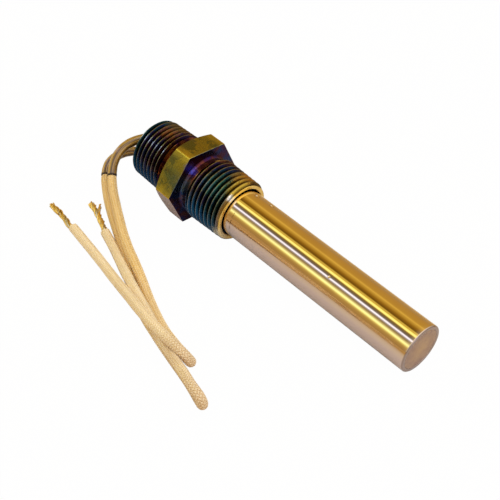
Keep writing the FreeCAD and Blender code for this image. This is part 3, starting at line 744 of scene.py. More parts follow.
@dataclass(frozen=True)
class PlainMetal(Finish):
    """Turned or rolled metal of one colour.

    Args:
        name: the material's name.
        colour: base colour.
        roughness: middle roughness.
        feed: spacing of the tool marks in mm.
        darkest: share of the colour that its darkest blotches keep.
    """

    name: str
    colour: tuple
    roughness: float = 0.3
    feed: float = 0.2
    darkest: float = 0.72

    def shade(self, t: Tree, surface: bpy.types.Node) -> None:
        """Tool marks by radius, and slight blotches in the colour."""
        at = t.use(GROUPS.place)
        mottle = t.use(GROUPS.mottle, Local=at.outputs["Local"], Blotch_Scale=0.6, Grain_Scale=4.0)
        dark = tuple(level * self.darkest for level in self.colour)
        roughness = t.spread(mottle.outputs["Grain"], 0.0, 1.0, self.roughness - 0.07, self.roughness + 0.1)
        t.fill(surface, Base_Color=t.mix(mottle.outputs["Blotch"], self.colour, dark), Metallic=1.0,
               Roughness=roughness)
        rings = t.use(GROUPS.faced, Distance=at.outputs["Radius"], Feed=self.feed,
                      Local=at.outputs["Local"])
        bump(t, surface, rings.outputs["Height"], 0.25, 0.02)


@dataclass(frozen=True)
class Insulation(Finish):
    """Unglazed ceramic or mica.

    Args:
        name: the material's name.
        colour: base colour.
        stain: colour of its stains.
    """

    name: str
    colour: tuple
    stain: tuple

    def shade(self, t: Tree, surface: bpy.types.Node) -> None:
        """Matt body with faint stains and a grainy surface."""
        at = t.use(GROUPS.place)
        mottle = t.use(GROUPS.mottle, Local=at.outputs["Local"], Blotch_Scale=0.5, Grain_Scale=9.0)
        colour = t.mix(t.times(mottle.outputs["Blotch"], 0.4), self.colour, self.stain)
        t.fill(surface, Base_Color=colour, Roughness=0.75)
        bump(t, surface, mottle.outputs["Grain"], 0.4, 0.03)


@dataclass(frozen=True)
class VarnishedSleeve(Finish):
    """Brown varnished sleeving: glossy, with dark lines along it under the varnish.

    Args:
        name: the material's name.
        along_scale: how often the lines change for each metre of sleeve.
        around_scale: how many lines lie round it, as the radius of a circle in noise space.
        end: distances from the cut end between which its dark ring fades, in metres.
    """

    name: str = "varnished_sleeve"
    along_scale: float = 55.0
    around_scale: float = 3.4
    end: tuple = (0.0004, 0.0010)

    def shade(self, t: Tree, surface: bpy.types.Node) -> None:
        """Tan gold with dark brown lines along the sleeve and a dark end."""
        angle = t.times(t.attribute("around"), TURN)
        streak = t.noise(t.join(t.times(t.attribute("along"), self.along_scale),
                                t.times(t.math("COSINE", angle), self.around_scale),
                                t.times(t.math("SINE", angle), self.around_scale)), 1.0, 2.0, 0.5, 0.3)
        colour = t.ramp(streak, (
            (0.36, (0.045, 0.020, 0.005)), (0.46, (0.20, 0.100, 0.018)), (0.54, (0.42, 0.24, 0.050)),
            (0.68, (0.64, 0.44, 0.13))))
        ring = t.spread(t.attribute("to_end"), *self.end, 0.92, 0.0)
        t.fill(surface, Base_Color=t.mix(ring, colour, Tint.SLEEVE_END), Coat_Roughness=0.10,
               Roughness=t.spread(ring, 0.0, 0.9, 0.28, 0.75),
               Coat_Weight=t.spread(ring, 0.0, 0.9, 0.7, 0.0))
        bump(t, surface, streak, 0.18, 0.05)


@dataclass(frozen=True)
class GlassBraid(Finish):
    """Braided glass yarn, golden near the sleeve and creamy further out.

    Args:
        name: the material's name.
        creamy: lengths along the braid between which gold turns to cream, in metres.
        folds: centres of the two folds, round which the braid is darker tan, in row-frame metres.
        tanned: distances from a fold's centre between which the tan fades, in metres.
    """

    name: str = "glass_braid"
    creamy: tuple = (0.060, 0.115)
    folds: tuple = ((0.0165, -0.0515, 0.0050), (0.0305, -0.0585, 0.0045))
    tanned: tuple = (0.0110, 0.0030)

    def shade(self, t: Tree, surface: bpy.types.Node) -> None:
        """Filament sheen, tone by yarn, the change of colour along the lead, and painted highlight and shade
        where the yarns cross.
        """
        yarn = t.use(GROUPS.yarn)
        near = t.ramp(yarn.outputs["Tone"], (
            (0.30, (0.72, 0.44, 0.12)), (0.48, (0.81, 0.52, 0.15)), (0.68, (0.88, 0.62, 0.24))))
        far = t.ramp(yarn.outputs["Tone"], (
            (0.30, (0.78, 0.58, 0.31)), (0.48, (0.87, 0.68, 0.40)), (0.68, (0.94, 0.80, 0.56))))
        colour = t.mix(t.spread(yarn.outputs["Along"], *self.creamy), near, far)
        point = t.node("ShaderNodeTexCoord").outputs["Object"]
        for fold in self.folds:
            colour = t.mix(t.spread(t.gap(point, fold), *self.tanned, 0.0, 0.85), colour, Tint.FOLD_TAN)
        over = t.attribute("over")
        # Painted highlight where a yarn passes over, painted shade where it dips under.
        colour = t.mix(t.spread(over, 0.35, 0.95, 0.0, 0.42), colour, Tint.YARN_OVER_HIGHLIGHT)
        colour = t.mix(t.spread(over, 0.2, -0.8, 0.0, 0.20), colour, Tint.YARN_UNDER_SHADE)
        t.fill(surface, Base_Color=colour, Roughness=0.5, Sheen_Weight=0.25)
        bump(t, surface, yarn.outputs["Height"], 0.2, 0.03)


@dataclass(frozen=True)
class BraidCore(Finish):
    """The golden inner wrap that shows between the yarns."""

    name: str = "braid_core"

    def shade(self, t: Tree, surface: bpy.types.Node) -> None:
        """Brown gold, fibrous."""
        grain = t.noise(t.node("ShaderNodeTexCoord").outputs["Object"], 2600.0, 3.0)
        colour = t.ramp(grain, ((0.35, (0.64, 0.44, 0.18)), (0.65, (0.74, 0.54, 0.26))))
        t.fill(surface, Base_Color=colour, Roughness=0.8)


@dataclass(frozen=True)
class BareWire(Finish):
    """Gold-coloured wires, some of them silvery, tarnished in places.

    Args:
        name: the material's name.
        silvery: wires whose own chance is above this are silvery.
    """

    name: str = "wire"
    silvery: float = 0.72

    def shade(self, t: Tree, surface: bpy.types.Node) -> None:
        """Colour by wire, darker where tarnished."""
        own = t.attribute("yarn")
        tarnish = t.noise(t.join(t.times(t.attribute("along"), 500.0), own), 1.0, 3.0)
        chance = t.node("ShaderNodeTexWhiteNoise", {"W": own}, noise_dimensions="1D").outputs["Value"]
        gold = t.mix(t.spread(tarnish, 0.45, 0.70), Tint.WIRE_GOLD, Tint.WIRE_TARNISH)
        colour = t.mix(t.math("GREATER_THAN", chance, self.silvery), gold, Tint.WIRE_SILVER)
        t.fill(surface, Base_Color=colour, Metallic=1.0, Roughness=0.3)


class Metals(Enum):
    """Plain metals of the inner pieces."""

    INNER = PlainMetal("inner_steel", (0.52, 0.50, 0.47), 0.32)
    BRASS = PlainMetal("screw_brass", (0.72, 0.50, 0.20), 0.26)
    STRUT = PlainMetal("strut_alloy", (0.58, 0.55, 0.50), 0.22)
    SILVER = PlainMetal("contact_silver", (0.84, 0.83, 0.80), 0.18)
    TERMINAL = PlainMetal("terminal_brass", (0.74, 0.55, 0.25), 0.3)


class Insulators(Enum):
    """Ceramic and mica."""

    CERAMIC = Insulation("ceramic", (0.86, 0.82, 0.73), (0.62, 0.50, 0.34))
    MICA = Insulation("liner", (0.60, 0.52, 0.36), (0.40, 0.30, 0.16))


# Turned and threaded bodies

@dataclass(frozen=True)
class Around:
    """The angles at which every ring of a turned body has its vertices.

    Args:
        even: how many evenly spaced angles.
        corner_extra: extra angles on both sides of each sixth of a turn, in degrees.
    """

    even: int = 216
    corner_extra: tuple = (0.35, 0.72)

    def angles(self) -> np.ndarray:
        """Return the angles in radians, counted from +Y towards +Z."""
        base = list(np.arange(self.even) * TURN / self.even)
        for corner in range(6):
            for extra in self.corner_extra:
                for side in (1, -1):
                    base.append((math.radians(60 * corner + side * extra)) % TURN)
        return np.array(sorted(base))


class Rings:
    """A surface made of rings around the switch's axis, joined one to the next."""

    def __init__(self, angles: np.ndarray) -> None:
        """Start with no rings.

        Args:
            angles: the angle of each vertex on a ring, in radians.
        """
        self.angles = angles
        self.count = len(angles)
        self.points = []
        self.faces = []
        self.last = None

    def _add(self, along: np.ndarray, radius: np.ndarray) -> int:
        """Store a ring's vertices and return the index of the first."""
        first = sum(len(block) for block in self.points)
        across, upward = radius * np.cos(self.angles), radius * np.sin(self.angles)
        self.points.append(np.stack([along, across, upward], axis=1))
        return first

    def _join(self, a: int, b: int) -> None:
        """Add the quads between the rings that start at a and b."""
        n = self.count
        for j in range(n):
            k = (j + 1) % n
            self.faces.append((a + j, a + k, b + k, b + j))

    def ring(self, along: Union[float, np.ndarray], radius: Union[float, np.ndarray]) -> None:
        """Add one ring and join it to the one before.

        Args:
            along: place on the axis, one number or one for each angle.
            radius: radius, one number or one for each angle.
        """
        full = np.ones(self.count)
        first = self._add(along * full, radius * full)
        if self.last is not None:
            self._join(self.last, first)
        self.last = first

    def profile(self, outline: tuple) -> None:
        """Add plain rings from (along, radius) pairs."""
        for along, radius in outline:
            self.ring(along, radius)

    def helix(self, start: float, length: float, pitch: float, crest: float, pattern: tuple,
              radius_at: Callable) -> None:
        """Add rows that follow a right-hand thread exactly, cut square at both ends.

        Args:
            start: where the rows begin on the axis.
            length: how far they run.
            pitch: the thread's pitch.
            crest: a place on the axis where a crest passes at the angle 0.
            pattern: places of the rows within one pitch, from 0 to 1, counted from a crest.
            radius_at: function of (along, phase in turns) giving the radius.
        """
        per = len(pattern)
        turns = int(math.ceil(length / pitch)) + 2
        first = (crest - start) % pitch
        nominal = [first + pitch * (k + part) for k in range(-2, turns) for part in pattern]
        shear = pitch * self.angles / TURN
        rows = []
        for value in nominal:
            along = start + np.clip(value + shear, 0.0, length)
            phase = (along - crest - shear) / pitch
            rows.append(self._add(along, radius_at(along, phase)))
        if self.last is not None:
            self._join(self.last, rows[0])
        n = self.count
        for i in range(len(rows) - 1):
            a, b = rows[i], rows[i + 1]
            for j in range(n - 1):
                self.faces.append((a + j, a + j + 1, b + j + 1, b + j))
            # After one turn a row meets the row that lies one pitch further along.
            c = rows[min(i + per, len(rows) - 1)]
            d = rows[min(i + 1 + per, len(rows) - 1)]
            self.faces.append((a + n - 1, c, d, b + n - 1))
        self.last = rows[-1]

    def close(self) -> None:
        """Join the last ring to the first."""
        self._join(self.last, 0)

    def make(self, name: str, sharp_deg: float = 35.0) -> bpy.types.Object:
        """Make the mesh object in the row frame."""
        points = LIE.to_row(np.concatenate(self.points))
        return make_mesh(name, points, self.faces, sharp_deg, merge_m=2e-7)


def arc_points(centre: tuple, radius: float, first_deg: float, last_deg: float, steps: int) -> tuple:
    """Points of an arc in the (along, radius) plane.

    Args:
        centre: the arc's centre.
        radius: its radius.
        first_deg: where it starts, counted from +along towards +radius.
        last_deg: where it ends.
        steps: number of pieces.

    Returns:
        A tuple of (along, radius) pairs.
    """
    angles = np.radians(np.linspace(first_deg, last_deg, steps + 1))
    return tuple((centre[0] + radius * math.cos(a), centre[1] + radius * math.sin(a)) for a in angles)


@dataclass
class Nipple:
    """The hexagon nipple with its two cut pipe threads, in mm and along the axis.

    Args:
        flats: hexagon across flats.
        hex_length: length of the hexagon, from its rear side to 0.
        chamfer_radius: where the cone on the hexagon's rear side begins.
        chamfer_deg: slope of that cone.
        land_edge: width and height of the small edge inside the cone.
        corner_round: radius of the hexagon's long edges.
        edge: broken edge round the hexagon's sides.
        end_radius: crest radius at a thread's small end.
        taper: growth of the radius for each mm from the small end.
        pitch: thread pitch.
        thread_depth: height of the thread.
        crest_flat: share of the pitch between a crest's middle and its flank.
        root_flat: share of the pitch between a crest's middle and the root's flat.
        rows: places of the mesh rows in one pitch, from a crest.
        vanish: distances to the neck between which the root rises to the neck.
        runout: length over which the blank slopes down to the neck.
        runout_drop: how far it slopes.
        front_length: thread and neck beside the probe.
        rear_length: thread and neck at the rear.
        neck_radius: radius of both necks.
        neck_length: length of a neck.
        neck_fillet: fillet between neck and hexagon.
        end_chamfer: chamfer at a thread's small end.
        bore: radius of the lead chamber.
        bore_edge: chamfer at its mouth.
        bore_floor: place of its floor.
        shoulder: radius of the hole in the shoulder that the shell stands on.
        seat_head: place of that shoulder.
        seat: radius of the shell's seat.
        mouth_gap: open ring round the shell at the mouth.
        mouth_depth: depth of that ring.
        mouth_chamfer: chamfer at its edge.
        shell: radius of the shell.
    """

    flats: float = 25.4
    hex_length: float = 7.6
    chamfer_radius: float = 12.6
    chamfer_deg: float = 30.0
    land_edge: tuple = (0.12, 0.04)
    corner_round: float = 0.35
    edge: float = 0.16
    end_radius: float = 10.36
    taper: float = 1.0 / 32.0
    pitch: float = 1.8143
    thread_depth: float = 1.15
    crest_flat: float = 0.045
    root_flat: float = 0.455
    rows: tuple = (0.0, 0.045, 0.11, 0.2, 0.3, 0.4, 0.455, 0.545, 0.6, 0.7, 0.8, 0.89, 0.955)
    vanish: tuple = (2.6, 0.2)
    runout: float = 0.9
    runout_drop: float = 1.25
    front_length: float = 18.2
    rear_length: float = 16.3
    neck_radius: float = 9.5
    neck_length: float = 2.4
    neck_fillet: float = 1.1
    end_chamfer: float = 0.8
    bore: float = 7.0
    bore_edge: float = 0.5
    bore_floor: float = -7.4
    shoulder: float = 5.9
    seat_head: float = -5.0
    seat: float = 7.7
    mouth_gap: float = 0.5
    mouth_depth: float = 4.2
    mouth_chamfer: float = 0.22
    shell: float = 7.9375

    def tooth(self, phase: np.ndarray) -> np.ndarray:
        """Height of the thread form, 1 on the crest and 0 in the root."""
        away = np.abs(phase - np.round(phase))
        return 1.0 - np.clip((away - self.crest_flat) / (self.root_flat - self.crest_flat), 0.0, 1.0)

    def thread_radius(self, from_end: np.ndarray, phase: np.ndarray, length: float) -> np.ndarray:
        """Radius of a cut thread.

        Args:
            from_end: distance from the thread's small end.
            phase: thread phase in turns.
            length: distance from the small end to the hexagon.

        Returns:
            The radius for each point.
        """
        crest = self.end_radius + self.taper * from_end
        root = crest - self.thread_depth
        to_neck = length - self.neck_length - from_end
        vanish = smooth_step(*self.vanish, to_neck)
        root = np.maximum(root, np.minimum(self.neck_radius, crest) * vanish + root * (1.0 - vanish))
        surface = root + (crest - root) * self.tooth(phase)
        start_cone = self.end_radius - self.end_chamfer + from_end
        runout_cone = self.neck_radius + np.clip(to_neck, 0.0, None) * (self.runout_drop / self.runout)
        return np.minimum(np.minimum(surface, start_cone), runout_cone)

    def hex_radius(self, angles: np.ndarray) -> np.ndarray:
        """Distance from the axis to the hexagon with rounded corners.

        Args:
            angles: angles from +Y, where a corner is.

        Returns:
            The distance at each angle.
        """
        half = math.pi / 6.0
        apothem = self.flats / 2.0
        from_corner = np.abs((angles + half) % (math.pi / 3.0) - half)
        flat = apothem / np.cos(half - from_corner)
        centre = (apothem - self.corner_round) / math.cos(half)
        reach = math.atan2(self.corner_round * 0.5, centre + self.corner_round * math.cos(half))
        inside = np.clip(self.corner_round ** 2 - (centre * np.sin(from_corner)) ** 2, 0.0, None)
        rounded = centre * np.cos(from_corner) + np.sqrt(inside)
        return np.where(from_corner < reach, rounded, flat)

    def add_hexagon(self, body: Rings) -> None:
        """Add the rings of the hexagon, from the rear neck's fillet to the front one's.

        Args:
            body: the nipple's surface so far.
        """
        corners = self.hex_radius(body.angles)
        slope = math.tan(math.radians(self.chamfer_deg))
        side = self.neck_radius + self.neck_fillet
        width, rise = self.land_edge
        cone_start = -self.hex_length + rise
        least = 0.02
        body.profile(arc_points((-self.hex_length - self.neck_fillet, side), self.neck_fillet, -90, 0, 6))
        body.ring(-self.hex_length, self.chamfer_radius - width)
        body.ring(cone_start, self.chamfer_radius)
        body.ring(cone_start + np.clip(corners - self.chamfer_radius - self.edge, least, None) * slope,
                  np.maximum(corners - self.edge, self.chamfer_radius + least))
        body.ring(cone_start + (corners - self.chamfer_radius + self.edge) * slope, corners)
        body.ring(-self.edge, corners)
        body.ring(0.0, corners - self.edge)
        body.profile(arc_points((self.neck_fillet, side), self.neck_fillet, 180, 270, 6))

    def build(self) -> bpy.types.Object:
        """Make the nipple as one closed mesh."""
        body = Rings(Around().angles())
        rear, front = -self.hex_length - self.rear_length, self.front_length
        body.ring(rear, self.bore + self.bore_edge)
        body.helix(rear, self.rear_length - self.neck_length, self.pitch, rear, self.rows,
                   lambda x, phase: self.thread_radius(x - rear, phase, self.rear_length))
        self.add_hexagon(body)
        body.helix(self.neck_length, front - self.neck_length, self.pitch, front, self.rows,
                   lambda x, phase: self.thread_radius(front - x, phase, front))
        mouth, ring_floor = self.shell + self.mouth_gap, front - self.mouth_depth
        body.profile(((front, mouth + self.mouth_chamfer), (front - self.mouth_chamfer, mouth),
                      (ring_floor, mouth), (ring_floor, self.seat), (self.seat_head, self.seat),
                      (self.seat_head, self.shoulder), (self.bore_floor, self.shoulder),
                      (self.bore_floor, self.bore), (rear + self.bore_edge, self.bore)))
        body.close()
        return body.make("nipple", 32.0)

    def dress(self, piece: bpy.types.Object) -> None:
        """Give the nipple its finish and its place in the frame."""
        piece.data.materials.append(NippleSteel().build())
        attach(piece, "root")
        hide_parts("coupling_nipple")


@dataclass
class Probe:
    """The polished shell and its end cap, in mm and along the axis.

    Args:
        radius: outside radius of the shell.
        inner: its inside radius.
        seat: radius of the part that sits in the nipple.
        head: place of its inner end.
        shoulder: where the seat ends and the full radius begins.
        tip: place of the tip's face.
        tip_round: rounding of the tip's edge.
        inner_edge: width and depth of the broken edge inside the tip.
        cap_face: place of the cap's inner side.
        wave: height and angular frequency by radius of the cap's faced rings.
        angles: number of vertices on a ring.
    """

    radius: float = 7.9375
    inner: float = 6.6875
    seat: float = 7.7
    head: float = -5.0
    shoulder: float = 18.4
    tip: float = 91.95
    tip_round: float = 0.45
    inner_edge: tuple = (0.08, 0.10)
    cap_face: float = 90.55
    wave: tuple = (0.012, 5.2)
    angles: int = 240

    def build_shell(self) -> bpy.types.Object:
        """Make the closed-section shell tube."""
        body = Rings(Around(self.angles, ()).angles())
        round_start = self.tip - self.tip_round
        width, depth = self.inner_edge
        body.profile(((self.head, self.inner), (self.head, self.seat), (self.shoulder, self.seat)))
        body.profile(tuple((x, self.radius) for x in np.linspace(self.shoulder, round_start, 25)[:-1]))
        body.profile(arc_points((round_start, self.radius - self.tip_round), self.tip_round, 90, 0, 6))
        body.profile(((self.tip, self.inner + width), (self.tip - depth, self.inner)))
        body.close()
        return body.make("probe_shell")

    def build_cap(self) -> bpy.types.Object:
        """Make the cap: a disc with a broken edge and shallow faced rings."""
        body = Rings(Around(self.angles, ()).angles())
        height, often = self.wave
        edge, lip = 0.12, 0.03
        faced = np.linspace(self.inner - 0.35, 0.25, 26)
        body.profile(((self.cap_face, self.inner), (self.tip - edge, self.inner),
                      (self.tip - lip, self.inner - edge)))
        body.profile(tuple((self.tip - height * (1.0 + math.cos(r * often)), r) for r in faced))
        body.profile(((self.tip - 0.02, 0.0), (self.cap_face, 0.0)))
        body.close()
        return body.make("probe_cap")

    def dress(self, shell: bpy.types.Object, cap: bpy.types.Object) -> None:
        """Finish both pieces."""
        shell.data.materials.append(ShellSteel().build())
        cap.data.materials.append(CapSteel().build())
        for piece, node, slot in ((shell, "sensing_shell", "shell_steel"), (cap, "end_cap", "cap_steel")):
            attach(piece, "root")
            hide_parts(node)


# Leads

ROUTE_A = (
    (-61.3, -2.5, 16.7), (-63.0, -8.9, 15.4), (-63.1, -13.2, 11.4), (-61.0, -15.8, 7.2),
    (-57.1, -18.5, 4.9), (-47.1, -24.5, 4.8), (-33.1, -32.5, 4.9), (-19.9, -37.9, 4.5),
    (-9.8, -41.9, 1.6), (1.7, -46.6, 1.6), (9.4, -48.2, 1.6), (16.0, -49.2, 1.6),
    (18.3, -50.2, 3.0), (18.0, -52.0, 6.0), (15.2, -52.8, 7.7), (10.0, -52.8, 7.9),
    (-0.3, -52.0, 8.2), (-11.4, -48.7, 6.3), (-23.0, -44.4, 2.4), (-35.4, -41.3, 1.6),
    (-51.6, -38.4, 1.6),
)
ROUTE_B = (
    (-63.2, -2.4, 10.7), (-67.6, -6.7, 8.9), (-69.1, -10.9, 5.9), (-66.9, -13.8, 3.0),
    (-62.0, -17.2, 1.6), (-52.3, -23.2, 1.6), (-33.9, -32.6, 1.6), (-21.4, -39.3, 1.6),
    (-9.5, -46.2, 1.6), (7.3, -51.1, 1.6), (22.5, -54.7, 1.6), (30.0, -57.3, 1.6),
    (32.4, -58.6, 3.2), (31.8, -59.4, 6.4), (27.8, -59.4, 7.9), (22.6, -57.4, 7.2),
    (10.9, -53.3, 4.5), (-1.2, -48.9, 4.9), (-14.9, -44.4, 5.4), (-26.1, -39.2, 3.0),
    (-35.5, -34.7, 1.6), (-43.7, -31.9, 1.6),
)


SPLINE_STEPS = 24
SPLINE_DEGREE = 2


def add_line(name: str, points_m: np.ndarray, kind: str) -> bpy.types.Object:
    """Add a curve object for a line.

    Args:
        name: the name of the object and its curve.
        points_m: the line's points in metres.
        kind: POLY for a line through the points, NURBS for one that they control.

    Returns:
        The curve object.
    """
    curve = bpy.data.curves.new(name, "CURVE")
    curve.dimensions = "3D"
    spline = curve.splines.new(kind)
    spline.points.add(len(points_m) - 1)
    for point, place in zip(spline.points, points_m):
        point.co = (*place, 1.0)
    return add_object(name, curve)


def nurbs_points(name: str, controls_m: np.ndarray) -> np.ndarray:
    """Points of the second-degree spline that a set of control points makes.

    Args:
        name: a name for the working curve.
        controls_m: control points in metres.

    Returns:
        Dense points along the spline, in metres.
    """
    obj = add_line(name, controls_m, "NURBS")
    curve = obj.data
    curve.resolution_u = SPLINE_STEPS
    curve.splines[0].order_u = SPLINE_DEGREE + 1
    curve.splines[0].use_endpoint_u = True
    graph = bpy.context.evaluated_depsgraph_get()
    mesh = bpy.data.meshes.new_from_object(obj.evaluated_get(graph))
    points = np.array([v.co[:] for v in mesh.vertices])
    bpy.data.objects.remove(obj)
    bpy.data.meshes.remove(mesh)
    bpy.data.curves.remove(curve)
    return points


@dataclass
class Path:
    """A dense line in metres with its running length."""

    points: np.ndarray

    def lengths(self) -> np.ndarray:
        """Running length at each point."""
        steps = np.linalg.norm(np.diff(self.points, axis=0), axis=1)
        return np.concatenate([[0.0], np.cumsum(steps)])

    def even(self, start: float, end: float, step: float) -> np.ndarray:
        """Evenly spaced points between two running lengths."""
        run = self.lengths()
        count = max(2, int(round((end - start) / step)) + 1)
        wanted = np.linspace(start, end, count)
        return np.stack([np.interp(wanted, run, self.points[:, axis]) for axis in range(3)], axis=1)

    def nearest(self, place: tuple) -> float:
        """Running length at the point nearest to a place in metres."""
        away = np.linalg.norm(self.points - np.array(place), axis=1)
        return float(self.lengths()[int(np.argmin(away))])


def frames_along(points: np.ndarray) -> tuple:
    """Tangents and twist-free side vectors along a line.

    Args:
        points: the line's points.

    Returns:
        Tangents, first side vectors and second side vectors.
    """
    tangents = np.gradient(points, axis=0)
    tangents /= np.linalg.norm(tangents, axis=1)[:, None]
    side = np.cross(tangents[0], (0.0, 0.0, 1.0))
    side /= np.linalg.norm(side)
    sides = [side]
    for tangent in tangents[1:]:
        side = side - tangent * np.dot(side, tangent)
        side = side / np.linalg.norm(side)
        sides.append(side)
    sides = np.array(sides)
    return tangents, sides, np.cross(tangents, sides)


class GraphBuilder(Tree):
    """Short calls for geometry node trees."""

    def geometry(self, kind: str, inputs: dict = None, **settings) -> Socket:
        """Add a geometry node and return its first output socket."""
        return self.node(kind, inputs, **settings).outputs[0]

    def capture(self, geometry: Socket, name: str, kind: str, value: Input) -> tuple:
        """Capture a field on a geometry's points and return the geometry and the captured socket."""
        made = self.node("GeometryNodeCaptureAttribute", domain="POINT")
        made.capture_items.new(kind, name)
        self.feed(made.inputs[0], geometry)
        self.feed(made.inputs[1], value)
        return made.outputs[0], made.outputs[1]

    def store(self, geometry: Socket, name: str, value: Input) -> Socket:
        """Store a number on each point and return the geometry."""
        return self.geometry("GeometryNodeStoreNamedAttribute",
                             {"Geometry": geometry, "Name": name, "Value": value},
                             data_type="FLOAT", domain="POINT")

    def evenly(self, line: Socket, step: Input) -> Socket:
        """Resample a line at even steps."""
        return self.geometry("GeometryNodeResampleCurve", {"Curve": line, "Length": step}, mode="LENGTH")

    def circle(self, sides: int, radius: Input) -> Socket:
        """Make a circle as a profile."""
        return self.geometry("GeometryNodeCurvePrimitiveCircle", {"Resolution": sides, "Radius": radius},
                             mode="RADIUS")

    def rod(self, line: Socket, sides: int, radius: Input) -> Socket:
        """Make a closed round rod along a line."""
        return self.geometry("GeometryNodeCurveToMesh", {
            "Curve": line, "Profile Curve": self.circle(sides, radius), "Fill Caps": True})

    def coat(self, geometry: Socket, material: Input) -> Socket:
        """Set a geometry's material."""
        return self.geometry("GeometryNodeSetMaterial", {"Geometry": geometry, "Material": material})

    def parameter(self, which: str) -> Socket:
        """Return a spline's running length or factor."""
        return self.node("GeometryNodeSplineParameter").outputs[which]


GEOMETRY = "NodeSocketGeometry"
INTEGER = "NodeSocketInt"
MATERIAL = "NodeSocketMaterial"


def geometry_group(name: str, inputs: tuple) -> tuple:
    """Start a geometry node group with one geometry in and one out.

    Args:
        name: the group's name.
        inputs: (name, socket type, default) for each further input.

    Returns:
        The tree, its builder, the group's given sockets and its output node.
    """
    return start_group(name, (("Geometry", GEOMETRY, None), *inputs), (("Geometry", GEOMETRY),),
                       "GeometryNodeTree", GraphBuilder)


YARN_INPUTS = (
    ("Carriers", INTEGER, 8), ("Lay", FLOAT, 0.0096), ("Radius", FLOAT, 0.0014),
    ("Yarn Width", FLOAT, 0.0008), ("Yarn Thickness", FLOAT, 0.00022), ("Wave", FLOAT, 0.00009),
    ("Step", FLOAT, 0.0004), ("Covered", FLOAT, 0.0),
)


@dataclass(frozen=True)
class Packing:
    """Fixed shares of the braid and the wire bundle.

    Args:
        pressed: share of the braid's radius that the sleeve leaves it.
        press_fade: lengths past the sleeve's end between which it swells, in metres.
        hand_step: number between the yarns of one hand and of the other.
        centre: keeps the first wire off the bundle's axis, in wires.
        tight: spacing of the wires where the bundle is tight.
        splay_power: how late the bundle opens.
        splay_least: share of the splay that every wire has.
        splay_reach: how far a fully splayed wire stands out.
    """

    pressed: float = 0.86
    press_fade: tuple = (-0.0006, 0.0010)
    hand_step: float = 20.0
    centre: float = 0.1
    tight: float = 1.05
    splay_power: float = 1.6
    splay_least: float = 0.15
    splay_reach: float = 2.2


PACK = Packing()


